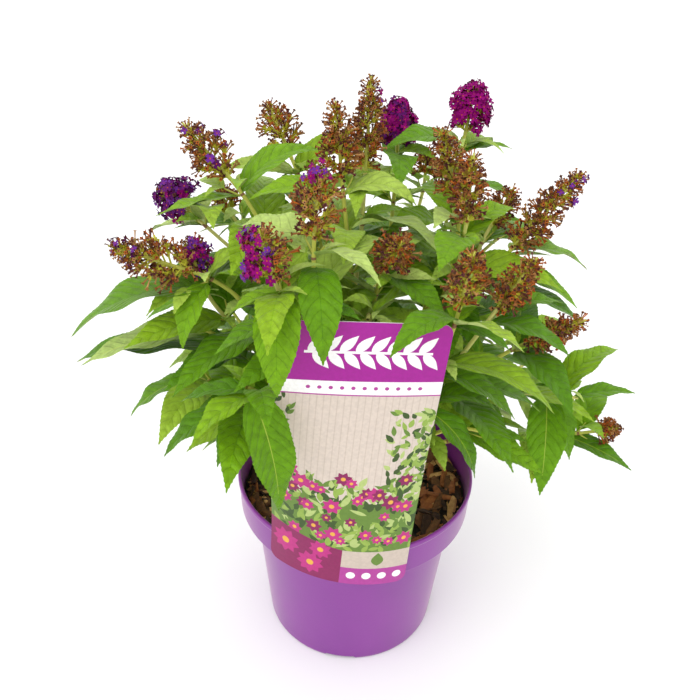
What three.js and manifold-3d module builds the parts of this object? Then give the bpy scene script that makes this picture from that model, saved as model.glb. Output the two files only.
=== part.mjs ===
// A dwarf butterfly bush in a round plastic nursery pot, with bark chips round its foot and a care
// card that hugs the front of the pot's collar.
//
// Frame: millimetres, +Z up, the origin at the middle of the pot's flat underside. The card is at the
// front, towards -Y. Azimuths are in degrees from +X, towards +Y, so the front is at -90.
//
// Growth: a short main stem stands on the bark. One limb for each mass of foliage leaves it, and the
// mass's own stem goes on from the limb's tip, forks, and carries opposite pairs of leaves, each pair
// turned a quarter round from the last. Most shoots end in a flower spike.
import * as THREE from "three";
import { mergeVertices } from "three/addons/utils/BufferGeometryUtils.js";
import Module from "manifold-3d";

const wasm = await Module();
wasm.setup();

// ---- Driving dimensions ----

const GAP = 0.3; // between solids that touch

const POT = {
  height: 151,
  rimRadius: 95,
  rimWidth: 2.4,
  collarRadius: 93.4, // the collar's outside at its lower edge
  collarBottom: 121,
  shoulderRadius: 82, // the wall's outside just under the collar
  footRadius: 71.5,
  wall: 1.8,
  floor: 5,
  edge: 1.2, // rounding of its corners
  ledge: [-2, 3], // the inside steps out to the collar between these heights, from collarBottom
  channels: 4, // drain channels under the floor, one near the front
  channelStart: 34, // from the axis
  channelWidth: 26,
  channelDepth: 3.2,
  channelTurn: -96,
  drainRadius: 5,
  sides: 44,
};

const BARK = { level: 131, shoulder: 5, sides: 28, chips: 18, chipSize: 15, stemClearance: 22, seed: 5 };

const CARD = {
  width: 108,
  height: 225.5,
  bottom: 120.5,
  thickness: 0.9,
  clearance: 0.3, // behind it, at the rim
  flatFrom: 0.15, // the share of its height where it starts to straighten
  lean: 0.6,
  turn: -98.6, // azimuth of its middle
  twist: 15, // its top faces this much to the right of that
  skew: 3.8, // leans this much to the right in its own plane
  corner: 7,
};

const STEM = { height: 54, baseRadius: 8.6, topRadius: 7.6, flareRadius: 12, flareHeight: 9, lean: 3 };

// Where limbs leave the main stem: how high, how far out from its axis, and how far from upright.
const TIERS = {
  leader: { height: 50, out: 0, leave: 0 },
  head: { height: 50, out: 5.4, leave: 16 },
  shoulder: { height: 38, out: 1, leave: 46 },
  waist: { height: 25, out: 1, leave: 58 },
  skirt: { height: 13, out: 1, leave: 64 },
};

const LIMB = { baseRadius: 2.3, tipRadius: 1.5, pieces: 4, share: 0.34 }; // share of a shoot that is bare limb
const TWIG = { radius: 1.5, tipRadius: 1.2, leave: 34, pieces: 3 };

const LEAF = {
  length: 76,
  slenderness: 0.35, // width over length
  thickness: 0.0125, // over length
  fold: 0.22, // rise of the edges over half the width
  neck: 0.7, // half its width at its foot, inside the stem
  spacing: 31, // between pairs along a shoot
  angle: 62, // from the shoot
  lift: 0.28, // turns the leaves of a leaning shoot up again
  sag: 36, // its tip hangs this much below level
  leastDroop: 16, // degrees of bend from foot to tip
  lowest: 190, // no tip hangs lower than this
  tries: [[0, 1], [20, 0.92], [-20, 0.92], [42, 0.8], [-42, 0.8]], // [turn, share of its length]
  stalk: 0.2, // this share of it, from its foot, may touch others of its own mass
};

const SPIKE = { columns: 8, rowHeight: 10, core: 0.42, forward: 0.3 };

// A shoot ends at tip, [azimuth, reach from the axis, height], heading up at the slope rise. spike is
// the length and radius of the flower spike on its end, or absent. The second shoot of a mass leaves
// the first at the share of its path given by fork. away is the limb's azimuth on the main stem.
// leaves are [shoot, share of its path, tip, bend in degrees]: large ones, set first, that the rule
// then grows round.
const MASSES = [
  { name: "front", tier: "head", away: -128, turn: 0, seed: 23,
    shoots: [
      { tip: [-114, 76, 384], rise: 96, spike: [50, 18] },
      { tip: [-121, 103, 366], rise: 72, spike: [42, 19], fork: 0.5 } ],
    leaves: [[1, 0.9, [-111, 136, 309], 112], [0, 0.91, [-101, 120, 326], 100]] },
  { name: "front_middle", tier: "head", away: -74, turn: 10, seed: 81,
    shoots: [
      { tip: [-71, 45, 357], rise: 44, spike: [40, 16] },
      { tip: [-88, 74, 332], rise: 10, fork: 0.5 } ],
    leaves: [] },
  { name: "right_high", tier: "head", away: 2, turn: 85, seed: 22,
    shoots: [
      { tip: [7, 60, 382], rise: 106, spike: [54, 14] },
      { tip: [-20, 68, 378], rise: 90, spike: [50, 14], fork: 0.55 } ],
    leaves: [] },
  { name: "back_high", tier: "head", away: 68, turn: 80, seed: 35,
    shoots: [
      { tip: [71, 65, 400], rise: 94, spike: [36, 16] },
      { tip: [67, 121, 361], rise: 90, spike: [24, 12], fork: 0.45 } ],
    leaves: [] },
  { name: "back_left_high", tier: "head", away: 138, turn: 40, seed: 79,
    shoots: [
      { tip: [138, 73, 392], rise: 56, spike: [46, 18] },
      { tip: [149, 119, 345], rise: 60, spike: [24, 13], fork: 0.45 } ],
    leaves: [] },
  { name: "top", tier: "leader", away: 0, turn: 70, seed: 33,
    shoots: [
      { tip: [-174, 17, 397], rise: 84, spike: [54, 15] },
      { tip: [94, 20, 396], rise: 84, spike: [64, 14], fork: 0.6 } ],
    leaves: [] },
  { name: "front_right", tier: "shoulder", away: -52, turn: 55, seed: 45,
    shoots: [
      { tip: [-55, 100, 349], rise: 80, spike: [44, 15] },
      { tip: [-36, 105, 338], rise: 64, spike: [46, 14], fork: 0.45 } ],
    leaves: [
      [0, 0.95, [-83, 122, 335], 70], [0, 0.72, [-40, 132, 267], 56],
      [0, 0.92, [-45, 128, 322], 56], [1, 0.92, [-24, 150, 332], 56] ] },
  { name: "right", tier: "shoulder", away: -6, turn: 30, seed: 82,
    shoots: [
      { tip: [-6, 101, 357], rise: 57, spike: [68, 15] },
      { tip: [10, 89, 360], rise: 54, spike: [34, 13], fork: 0.5 } ],
    leaves: [[0, 0.98, [0, 155, 335], 56], [0, 0.9, [-12, 147, 321], 56]] },
  { name: "back_right_high", tier: "shoulder", away: 44, turn: 0, seed: 70,
    shoots: [
      { tip: [41, 91, 411], rise: 80, spike: [38, 17] },
      { tip: [26, 122, 342], rise: 40, fork: 0.45 } ],
    leaves: [[0, 0.94, [31, 122, 398], 56]] },
  { name: "left_high", tier: "shoulder", away: 176, turn: 85, seed: 61,
    shoots: [
      { tip: [174, 93, 390], rise: 50, spike: [50, 18] },
      { tip: [171, 124, 360], rise: 42, spike: [32, 17], fork: 0.55 } ],
    leaves: [] },
  { name: "left", tier: "waist", away: -156, turn: 65, seed: 92,
    shoots: [
      { tip: [-161, 118, 343], rise: 26, spike: [60, 20] },
      { tip: [-168, 113, 337], rise: 84, spike: [28, 15], fork: 0.5 } ],
    leaves: [
      [0, 0.9, [-167, 201, 294], 60], [0, 0.94, [-154, 142, 298], 80],
      [0, 0.8, [-129, 92, 322], 40] ] },
  { name: "right_low", tier: "waist", away: -24, turn: 55, seed: 34,
    shoots: [
      { tip: [-22, 121, 303], rise: 38, spike: [46, 12] },
      { tip: [-12, 160, 250], rise: 4, fork: 0.5 } ],
    leaves: [[1, 0.8, [-34, 153, 203], 70], [1, 0.97, [-9, 200, 254], 40]] },
  { name: "back_low", tier: "waist", away: 104, turn: 30, seed: 28,
    shoots: [
      { tip: [104, 140, 272], rise: 40, spike: [44, 15] },
      { tip: [84, 146, 246], rise: 14, fork: 0.45 } ],
    leaves: [] },
  { name: "right_skirt", tier: "skirt", away: -2, leave: 40, turn: 35, seed: 96,
    shoots: [
      { tip: [-9, 181, 217], rise: 20, spike: [20, 10] },
      { tip: [16, 150, 238], rise: 8, fork: 0.45 } ],
    leaves: [[0, 0.86, [-15, 207, 201], 30]] },
  { name: "front_right_low", tier: "skirt", away: -48, turn: 75, seed: 28,
    shoots: [
      { tip: [-43, 112, 250], rise: 14 },
      { tip: [-62, 92, 272], rise: 20, fork: 0.4 } ],
    leaves: [[1, 0.93, [-51, 124, 226], 70], [0, 0.9, [-32, 136, 239], 40]] },
  { name: "front_left_low", tier: "skirt", away: -118, turn: 50, seed: 51,
    shoots: [
      { tip: [-124, 125, 299], rise: 40 },
      { tip: [-138, 114, 266], rise: 14, fork: 0.45 } ],
    leaves: [
      [0, 0.98, [-111, 138, 222], 60], [0, 0.96, [-140, 148, 280], 50],
      [1, 0.97, [-142, 161, 238], 50], [1, 0.8, [-134, 134, 228], 60] ] },
  { name: "left_low", tier: "skirt", away: -164, turn: 45, seed: 26,
    shoots: [
      { tip: [-161, 116, 300], rise: 30 },
      { tip: [-173, 128, 244], rise: 10, fork: 0.45 } ],
    leaves: [
      [0, 0.97, [-165, 197, 275], 36], [0, 0.84, [-174, 206, 258], 50],
      [0, 0.8, [-148, 150, 276], 56], [1, 0.94, [-171, 172, 214], 56] ] },
  { name: "back_left_low", tier: "skirt", away: 150, turn: 85, seed: 27,
    shoots: [
      { tip: [150, 140, 276], rise: 40, spike: [36, 14] },
      { tip: [128, 132, 242], rise: 14, fork: 0.45 } ],
    leaves: [] },
  { name: "back_right_low", tier: "skirt", away: 52, turn: 0, seed: 29,
    shoots: [
      { tip: [58, 138, 282], rise: 36, spike: [40, 15] },
      { tip: [36, 148, 244], rise: 14, fork: 0.45 } ],
    leaves: [] },
];

// ---- Materials ----

const plain = (color, roughness) => new THREE.MeshStandardMaterial({ color, roughness, metalness: 0 });
const material = {
  pot: plain("#8f47a3", 0.38),
  bark: plain("#4a2f1c", 0.95),
  card: plain("#b233a6", 0.45),
  wood: plain("#8f8152", 0.85),
  foliage: plain("#5a9a2e", 0.7),
};

// ---- Small helpers ----

const radians = THREE.MathUtils.degToRad;
const { lerp, clamp, smoothstep } = THREE.MathUtils;
const along = (azimuth, radius, height) =>
  new THREE.Vector3(radius * Math.cos(radians(azimuth)), radius * Math.sin(radians(azimuth)), height);
const UP = new THREE.Vector3(0, 0, 1);

// Repeatable random numbers from 0 to 1 (the mulberry32 generator).
function seeded(seed) {
  let state = seed >>> 0;
  return () => {
    state = (state + 0x6d2b79f5) >>> 0;
    let t = Math.imul(state ^ (state >>> 15), state | 1);
    t = (t + Math.imul(t ^ (t >>> 7), t | 61)) ^ t;
    return ((t ^ (t >>> 14)) >>> 0) / 4294967296;
  };
}

// ---- Solids ----

function solidFrom(vertices, triangles) {
  const vertProperties = new Float32Array(vertices);
  const make = (tris) =>
    new wasm.Manifold(new wasm.Mesh({ numProp: 3, vertProperties, triVerts: new Uint32Array(tris) }));
  const solid = make(triangles);
  return solid.volume() > 0 ? solid : make([...triangles].reverse());
}

function solidOf(geometry) {
  const bare = geometry.clone();
  bare.deleteAttribute("normal");
  bare.deleteAttribute("uv");
  const merged = mergeVertices(bare, 1e-3);
  return solidFrom(merged.getAttribute("position").array, merged.index.array);
}

function geometryOf(solid) {
  const mesh = solid.getMesh();
  const geometry = new THREE.BufferGeometry();
  geometry.setAttribute("position", new THREE.BufferAttribute(mesh.vertProperties, 3));
  geometry.setIndex(new THREE.BufferAttribute(mesh.triVerts, 1));
  geometry.computeVertexNormals();
  return geometry;
}

// A closed skin over rings of points. Rings have the same count, except a first or last one of a single
// point. The diagonals start from even points, so the two faces of a thin blade match.
function loft(rings) {
  const vertices = rings.flat().flatMap((p) => [p.x, p.y, p.z]);
  const triangles = [];
  const starts = rings.map((_, r) => rings.slice(0, r).reduce((sum, ring) => sum + ring.length, 0));
  rings.slice(1).forEach((ring, r) => {
    const below = rings[r].length;
    const above = ring.length;
    const n = Math.max(below, above);
    for (let k = 0; k < n; k++) {
      const a = starts[r] + (k % below);
      const b = starts[r] + ((k + 1) % below);
      const c = starts[r + 1] + ((k + 1) % above);
      const d = starts[r + 1] + (k % above);
      if (below === 1) triangles.push(a, c, d);
      else if (above === 1) triangles.push(a, b, c);
      else if (k % 2 === 0) triangles.push(a, b, c, a, c, d);
      else triangles.push(a, b, d, b, c, d);
    }
  });
  const last = rings.length - 1;
  for (let k = 1; k < rings[0].length - 1; k++) triangles.push(0, k + 1, k);
  for (let k = 1; k < rings[last].length - 1; k++) {
    triangles.push(starts[last], starts[last] + k, starts[last] + k + 1);
  }
  return solidFrom(vertices, triangles);
}

// A closed plate whose front face is the grid of points front(i, j), and whose back lies a thickness
// along the grid's normals.
function plate(columns, rows, front, normal, thickness) {
  const vertices = [];
  const triangles = [];
  const index = (side, i, j) => (side * (rows + 1) + j) * (columns + 1) + i;
  for (const side of [0, 1]) {
    for (let j = 0; j <= rows; j++) {
      for (let i = 0; i <= columns; i++) {
        const p = front(i, j).addScaledVector(normal(i, j), side * thickness);
        vertices.push(p.x, p.y, p.z);
      }
    }
  }
  const quad = (a, b, c, d) => triangles.push(a, b, c, a, c, d);
  for (let j = 0; j < rows; j++) {
    for (let i = 0; i < columns; i++) {
      quad(index(0, i, j), index(0, i + 1, j), index(0, i + 1, j + 1), index(0, i, j + 1));
      quad(index(1, i, j), index(1, i, j + 1), index(1, i + 1, j + 1), index(1, i + 1, j));
    }
  }
  for (let i = 0; i < columns; i++) {
    quad(index(0, i, 0), index(1, i, 0), index(1, i + 1, 0), index(0, i + 1, 0));
    quad(index(0, i + 1, rows), index(1, i + 1, rows), index(1, i, rows), index(0, i, rows));
  }
  for (let j = 0; j < rows; j++) {
    quad(index(0, 0, j + 1), index(1, 0, j + 1), index(1, 0, j), index(0, 0, j));
    quad(index(0, columns, j), index(1, columns, j), index(1, columns, j + 1), index(0, columns, j + 1));
  }
  return solidFrom(vertices, triangles);
}

// A solid of revolution about Z from a closed profile of [radius, height].
function turned(profile, sides) {
  const geometry = new THREE.LatheGeometry(profile.map(([r, z]) => new THREE.Vector2(r, z)), sides);
  return solidOf(geometry.rotateX(Math.PI / 2));
}

// ---- The pot ----

function potSolid() {
  const { height, rimRadius, rimWidth, collarRadius, collarBottom, shoulderRadius, footRadius } = POT;
  const { wall, floor, edge, ledge, sides } = POT;
  const { channels, channelStart, channelWidth, channelDepth, channelTurn, drainRadius } = POT;
  let pot = turned(
    [
      [0, 0],
      [footRadius - edge, 0],
      [footRadius, edge * 1.5],
      [shoulderRadius, collarBottom + 2 * ledge[0]],
      [collarRadius - edge, collarBottom],
      [collarRadius, collarBottom + edge],
      [rimRadius, height - edge / 2],
      [rimRadius - edge / 2, height],
      [rimRadius - rimWidth, height],
      [collarRadius - wall, collarBottom + ledge[1]],
      [shoulderRadius - wall, collarBottom + ledge[0]],
      [footRadius - wall, floor],
      [0, floor],
    ],
    sides,
  );
  const length = footRadius; // well past the wall
  for (let k = 0; k < channels; k++) {
    const azimuth = channelTurn + (360 / channels) * k;
    const channel = new THREE.BoxGeometry(length, channelWidth, channelDepth * 2)
      .translate(channelStart + length / 2, 0, 0)
      .rotateZ(radians(azimuth));
    const drain = new THREE.CylinderGeometry(drainRadius, drainRadius, 4 * floor, 16)
      .rotateX(Math.PI / 2)
      .translate(channelStart + drainRadius * 2.5, 0, 0)
      .rotateZ(radians(azimuth));
    pot = pot.subtract(solidOf(channel)).subtract(solidOf(drain));
  }
  return pot;
}

// ---- The bark fill, with chips fused on its top ----

function barkSolid() {
  const { wall, floor, ledge, footRadius, shoulderRadius, collarRadius, collarBottom, sides } = POT;
  // The pot's inside is a polygon, whose flats are nearer to the axis than its corners.
  const inside = (radius) => (radius - wall) * Math.cos(Math.PI / sides) - GAP;
  const topRadius = inside(collarRadius);
  let bark = turned(
    [
      [0, floor + GAP],
      [inside(footRadius), floor + GAP],
      [inside(shoulderRadius), collarBottom + ledge[0] + GAP],
      [topRadius, collarBottom + ledge[1] + GAP],
      [topRadius, BARK.level - BARK.shoulder / 2],
      [topRadius - BARK.shoulder, BARK.level],
      [0, BARK.level],
    ],
    BARK.sides,
  );
  const random = seeded(BARK.seed);
  for (let k = 0; k < BARK.chips; k++) {
    const ring = Math.sqrt((k + 0.5) / BARK.chips);
    const radius = lerp(BARK.stemClearance, topRadius - 0.8 * BARK.chipSize, ring);
    const size = BARK.chipSize * lerp(0.6, 1.1, random());
    const chip = new THREE.BoxGeometry(size, size * lerp(0.35, 0.6, random()), size * 0.3)
      .rotateX(lerp(-0.35, 0.35, random()))
      .rotateY(lerp(-0.3, 0.3, random()))
      .rotateZ(random() * Math.PI);
    const place = along(k * 137.5, radius, BARK.level + size * 0.05);
    bark = bark.add(solidOf(chip.translate(place.x, place.y, place.z)));
  }
  return bark;
}

// ---- The care card: round the collar at its foot, flat at its top ----

function cardSolid() {
  const columns = 8;
  const rows = 7;
  const rowAt = [0, 0.03, 0.2, 0.4, 0.6, 0.8, 0.97, 1];
  const hug = POT.rimRadius + CARD.clearance; // radius of its back where it lies on the collar
  const middle = new THREE.Vector3(0, -hug, 0);
  const surface = (i, j) => {
    const share = rowAt[j];
    const cornerDrop = Math.max(0, CARD.corner - Math.min(share, 1 - share) * CARD.height);
    const half = CARD.width / 2 - cornerDrop;
    const across = lerp(-half, half, i / columns);
    const bend = (1 - smoothstep(share, CARD.flatFrom, 1)) / hug + 1e-6;
    const turn = new THREE.Matrix4().makeRotationZ(radians(CARD.twist) * smoothstep(share, 0, 0.9));
    const facing = new THREE.Vector3(Math.sin(across * bend), -Math.cos(across * bend), 0);
    const bow = new THREE.Vector3(Math.sin(across * bend), 1 - Math.cos(across * bend), 0);
    const front = bow.divideScalar(bend).setY(bow.y - CARD.thickness).applyMatrix4(turn).add(middle);
    return { front: front.setZ(share * CARD.height), facing: facing.transformDirection(turn) };
  };
  const place = new THREE.Matrix4().makeRotationZ(radians(CARD.turn + 90));
  place.multiply(new THREE.Matrix4().makeTranslation(0, -POT.collarRadius, CARD.bottom));
  place.multiply(new THREE.Matrix4().makeRotationX(radians(CARD.lean)));
  place.multiply(new THREE.Matrix4().makeRotationY(radians(CARD.skew)));
  place.multiply(new THREE.Matrix4().makeTranslation(0, POT.collarRadius, 0));
  return plate(
    columns,
    rows,
    (i, j) => surface(i, j).front.applyMatrix4(place),
    (i, j) => surface(i, j).facing.negate().transformDirection(place),
    CARD.thickness,
  );
}

// ---- Stems ----

// Four corners of a square stem, round a point on its path.
function square(point, side, tangent, radius) {
  const other = new THREE.Vector3().crossVectors(side, tangent);
  return [0, 1, 2, 3].map((k) => {
    const angle = (k * Math.PI) / 2;
    return point
      .clone()
      .addScaledVector(side, radius * Math.cos(angle))
      .addScaledVector(other, radius * Math.sin(angle));
  });
}

// A path in an upright plane that leaves its foot at so many degrees from upright. It has the frame
// that a shoot needs: side stays the same all along it.
function shootPath(foot, leave, { tip, rise }) {
  const end = along(...tip);
  const out = new THREE.Vector3(end.x - foot.x, end.y - foot.y, 0).normalize();
  const pull = foot.distanceTo(end) * 0.36;
  const heading = (slope) =>
    out.clone().multiplyScalar(pull * Math.cos(radians(slope))).setZ(pull * Math.sin(radians(slope)));
  const knees = [foot.clone().add(heading(90 - leave)), end.clone().sub(heading(rise))];
  const curve = new THREE.CubicBezierCurve3(foot, ...knees, end);
  const side = new THREE.Vector3().crossVectors(out, UP);
  return { at: (t) => curve.getPoint(t), tangent: (t) => curve.getTangent(t), side, length: curve.getLength() };
}

// A point on the straight piece of a shoot's stem that holds t, so that a leaf's foot is inside it.
function footOn(path, from, t) {
  const piece = Math.min(TWIG.pieces - 1, Math.floor(((t - from) / (1 - from)) * TWIG.pieces));
  const [low, high] = [piece, piece + 1].map((k) => lerp(from, 1, k / TWIG.pieces));
  return path.at(low).lerp(path.at(high), (t - low) / (high - low));
}

function stemSolid(path, from, to, radiusAt, pieces) {
  const rings = [];
  for (let k = 0; k <= pieces; k++) {
    const t = lerp(from, to, k / pieces);
    rings.push(square(path.at(t), path.side, path.tangent(t), radiusAt(t)));
  }
  return loft(rings);
}

function mainStemSolid(grow = 0) {
  const sides = 10;
  const ring = (height, radius) =>
    Array.from({ length: sides }, (_, k) => {
      const angle = (k * 2 * Math.PI) / sides;
      const flare = 1 + 0.12 * Math.cos(angle * 3) * (height < STEM.flareHeight ? 1 : 0);
      const lean = (STEM.lean * height) / STEM.height;
      const r = (radius + grow) * flare;
      return new THREE.Vector3(r * Math.cos(angle) + lean, r * Math.sin(angle), BARK.level + GAP + height);
    });
  const { height, baseRadius, topRadius, flareRadius, flareHeight } = STEM;
  return loft([
    ring(-grow, flareRadius),
    ring(flareHeight * 0.35, lerp(flareRadius, baseRadius, 0.6)),
    ring(flareHeight, baseRadius),
    ring(height * 0.6, lerp(baseRadius, topRadius, 0.6)),
    ring(height - 3, topRadius),
    ring(height + grow, topRadius * 0.6),
  ]);
}

// ---- Leaves ----

// The midrib leaves the stem along start and bends down by droop; point(s) and frame(s) follow it.
function leafLine({ foot, start, droop, length, roll }) {
  const level = new THREE.Vector3(start.x, start.y, 0).normalize();
  const pitch = Math.asin(clamp(start.z, -1, 1));
  const bend = radians(droop);
  const across = new THREE.Vector3().crossVectors(level, UP);
  return (s) => {
    const now = pitch - bend * s;
    const point = foot
      .clone()
      .addScaledVector(level, (length * (Math.sin(pitch) - Math.sin(now))) / bend)
      .addScaledVector(UP, (length * (Math.cos(now) - Math.cos(pitch))) / bend);
    const ahead = level.clone().multiplyScalar(Math.cos(now)).addScaledVector(UP, Math.sin(now));
    const side = across.clone().applyAxisAngle(ahead, roll);
    const face = new THREE.Vector3().crossVectors(side, ahead);
    return { point, side, face };
  };
}

// A folded lance-shaped blade of four-cornered sections; grow swells it, to test for room round it.
function leafSolid(leaf, grow = 0, from = 0) {
  const line = leafLine(leaf);
  const half = (leaf.length * LEAF.slenderness) / 2;
  const thick = (leaf.length * LEAF.thickness) / 2;
  const sections = [
    [from, Math.max(LEAF.neck / half, from / 0.36)],
    [0.36, 1],
    [0.7, 0.66],
  ];
  const rings = sections.map(([s, share]) => {
    const { point, side, face } = line(s);
    const wide = half * share + grow;
    const rise = half * share * LEAF.fold;
    return [
      point.clone().addScaledVector(side, wide).addScaledVector(face, rise),
      point.clone().addScaledVector(face, thick + grow),
      point.clone().addScaledVector(side, -wide).addScaledVector(face, rise),
      point.clone().addScaledVector(face, -thick - grow),
    ];
  });
  return loft([...rings, [line(1 + grow / leaf.length).point]]);
}

// The leaves of one shoot: opposite pairs from its foot to just under its spike.
function leavesOf(path, from, bare, random, turn) {
  const span = path.length * (1 - from - bare);
  const pairs = Math.max(2, Math.round(span / LEAF.spacing));
  const leaves = [];
  for (let pair = 0; pair < pairs; pair++) {
    const share = (pair + 0.55) / pairs;
    const t = lerp(from + bare, 1, share);
    const tangent = path.tangent(t);
    const other = new THREE.Vector3().crossVectors(path.side, tangent);
    for (const way of [0, 180]) {
      const around = radians(turn + way + pair * 90 + lerp(-18, 18, random()));
      const size = lerp(0.74, 1.08, Math.sin(Math.PI * lerp(0.35, 0.95, share))) * lerp(0.8, 1.15, random());
      const angle = radians(LEAF.angle * lerp(0.85, 1.15, random()));
      const sag = LEAF.sag * lerp(0.4, 1.5, random());
      const roll = lerp(-0.35, 0.35, random());
      const outward = path.side
        .clone()
        .multiplyScalar(Math.cos(around))
        .addScaledVector(other, Math.sin(around));
      const start = tangent.clone().multiplyScalar(Math.cos(angle)).addScaledVector(outward, Math.sin(angle));
      start.setZ(start.z + LEAF.lift).normalize();
      const droop = Math.max(LEAF.leastDroop, THREE.MathUtils.radToDeg(Math.asin(start.z)) + sag);
      leaves.push({ foot: footOn(path, from, t), start, droop, length: LEAF.length * size, roll });
    }
  }
  return leaves;
}

// A leaf from foot whose tip is where it is told to be.
function leafTo(foot, tip, droop) {
  const chord = along(...tip).sub(foot);
  const half = radians(droop) / 2;
  const level = Math.hypot(chord.x, chord.y);
  const pitch = Math.atan2(chord.z, level) + half;
  const start = new THREE.Vector3(chord.x / level, chord.y / level, 0)
    .multiplyScalar(Math.cos(pitch))
    .setZ(Math.sin(pitch));
  const length = (chord.length() * half) / Math.sin(half);
  return { foot, start, droop, length, roll: 0 };
}

// ---- Flower spikes ----

// A tapering core whose skin is drawn out to points in a chequer pattern, one for each tuft of florets.
function spikeSolid(path, [length, radius], random) {
  const { columns, rowHeight, core, forward } = SPIKE;
  const axis = path.tangent(1);
  const other = new THREE.Vector3().crossVectors(path.side, axis);
  const base = path.at(1).addScaledVector(axis, -2);
  const rows = Math.max(3, Math.round(length / rowHeight));
  // Full soon above its foot, and blunt at its tip.
  const envelope = (share) => radius * Math.min(1, 0.5 + 2.5 * share) * (1 - 0.75 * share ** 2.2);
  const rings = [];
  for (let row = 0; row < rows; row++) {
    const share = row / rows;
    const reach = envelope(share);
    rings.push(
      Array.from({ length: columns }, (_, k) => {
        const drawn = (row + k) % 2 === 0 ? lerp(0.85, 1.12, random()) : core;
        const angle = ((k + lerp(-0.15, 0.15, random())) * 2 * Math.PI) / columns;
        const up = (drawn - core) * forward * reach;
        return base
          .clone()
          .addScaledVector(axis, length * share + up)
          .addScaledVector(path.side, reach * drawn * Math.cos(angle))
          .addScaledVector(other, reach * drawn * Math.sin(angle));
      }),
    );
  }
  return loft([[base], ...rings, [base.clone().addScaledVector(axis, length)]]);
}

// ---- The plant: limbs, then stems and spikes, then the leaves that have room ----

function limbFoot({ tier, away }) {
  const { height, out } = TIERS[tier];
  const lean = (STEM.lean * height) / STEM.height;
  return along(away, out, BARK.level + GAP + height).add(new THREE.Vector3(lean, 0, 0));
}

const box = (solid) => {
  const { min, max } = solid.boundingBox();
  return new THREE.Box3(new THREE.Vector3(...min), new THREE.Vector3(...max));
};
// What a leaf has to keep clear of: whole pieces of other nodes, and those of its own mass but for the
// stalks of their leaves.
const taken = [];
const take = (node, whole, clear = whole) => taken.push({ node, whole, clear, box: box(whole) });
function meets(node, whole, clear) {
  const around = box(whole);
  return taken.some((other) => {
    if (!other.box.intersectsBox(around)) return false;
    const [mine, theirs] = other.node === node ? [clear, other.clear] : [whole, other.whole];
    return mine.intersect(theirs).volume() > 0;
  });
}

// A leaf with no room turns aside and shrinks a little, and in the end is left out.
function settled(node, leaf) {
  for (const [swing, share] of LEAF.tries) {
    const start = leaf.start.clone().applyAxisAngle(UP, radians(swing));
    const tried = { ...leaf, start, length: leaf.length * share };
    if (leafLine(tried)(1).point.z < LEAF.lowest) continue;
    if (!meets(node, leafSolid(tried, GAP), leafSolid(tried, GAP, LEAF.stalk))) return tried;
  }
  return null;
}

const solids = new Map();
const pot = potSolid();
const bark = barkSolid();
const card = cardSolid();
const mainStem = mainStemSolid();
for (const [node, solid] of Object.entries({ pot, bark, card, main_stem: mainStem })) {
  solids.set(node, solid);
  take(node, solid);
}

const stemRoom = mainStemSolid(GAP);
const growths = MASSES.map(({ name, tier, away, leave, turn, seed, shoots, leaves: largeOnes }) => {
  const random = seeded(seed);
  const main = shootPath(limbFoot({ tier, away }), leave ?? TIERS[tier].leave, shoots[0]);
  const gap = GAP / main.length;
  const radiusAt = (t) =>
    t < LIMB.share
      ? lerp(LIMB.baseRadius, LIMB.tipRadius, t / LIMB.share)
      : lerp(LIMB.tipRadius, TWIG.tipRadius, (t - LIMB.share) / (1 - LIMB.share));
  const limb = stemSolid(main, 0, LIMB.share, radiusAt, LIMB.pieces).subtract(stemRoom);
  solids.set(`limb_${name}`, limb);
  take(`limb_${name}`, limb);
  const node = `foliage_${name}`;
  const pieces = [];
  const leaves = [];
  const paths = [];
  shoots.forEach((shoot, order) => {
    const fork = footOn(main, LIMB.share + gap, shoot.fork ?? 1);
    const path = order === 0 ? main : shootPath(fork, TWIG.leave, shoot);
    const from = order === 0 ? LIMB.share + gap : 0;
    const thick = order === 0 ? radiusAt : (t) => lerp(TWIG.radius, TWIG.tipRadius, t);
    pieces.push(stemSolid(path, from, 1, thick, TWIG.pieces));
    if (shoot.spike) pieces.push(spikeSolid(path, shoot.spike, seeded(seed + 100 * (order + 1))));
    leaves.push(...leavesOf(path, from, 0.1 * order, random, turn + 45 * order));
    paths.push({ path, from });
  });
  pieces.forEach((piece) => take(node, piece));
  const placed = largeOnes.map(([order, t, tip, bend]) => {
    const { path, from } = paths[order];
    return leafTo(footOn(path, from, t), tip, bend);
  });
  return { node, pieces, leaves, placed };
});

function growLeaves({ node, pieces }, leaves) {
  for (const wanted of leaves) {
    const leaf = settled(node, wanted);
    if (!leaf) continue;
    pieces.push(leafSolid(leaf));
    take(node, leafSolid(leaf), leafSolid(leaf, 0, LEAF.stalk));
  }
}

growths.forEach((growth) => growLeaves(growth, growth.placed));
growths.forEach((growth) => growLeaves(growth, growth.leaves));
for (const { node, pieces } of growths) {
  const whole = pieces.reduce((sum, piece) => sum.add(piece));
  solids.set(node, whole.asOriginal().simplify(0.05));
}

// ---- The assembly ----

function materialOf(node) {
  if (node.startsWith("foliage")) return material.foliage;
  return material[node] ?? material.wood;
}

const bush = new THREE.Group();
bush.name = "butterfly_bush";
for (const [node, solid] of solids) {
  const mesh = new THREE.Mesh(geometryOf(solid), materialOf(node));
  mesh.name = node;
  bush.add(mesh);
}

export default bush;
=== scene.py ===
"""A dwarf butterfly bush in a nursery pot: its looks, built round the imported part.

Lengths are in millimetres, in the part's frame, and a mesh is scaled to metres as it is made.
Azimuths are in degrees from +X towards +Y, so the front, with the care card, is at -90.
"""

import math

import bmesh
import bpy
import numpy as np
from mathutils import Matrix, Vector, geometry, noise
from mathutils.bvhtree import BVHTree


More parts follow.
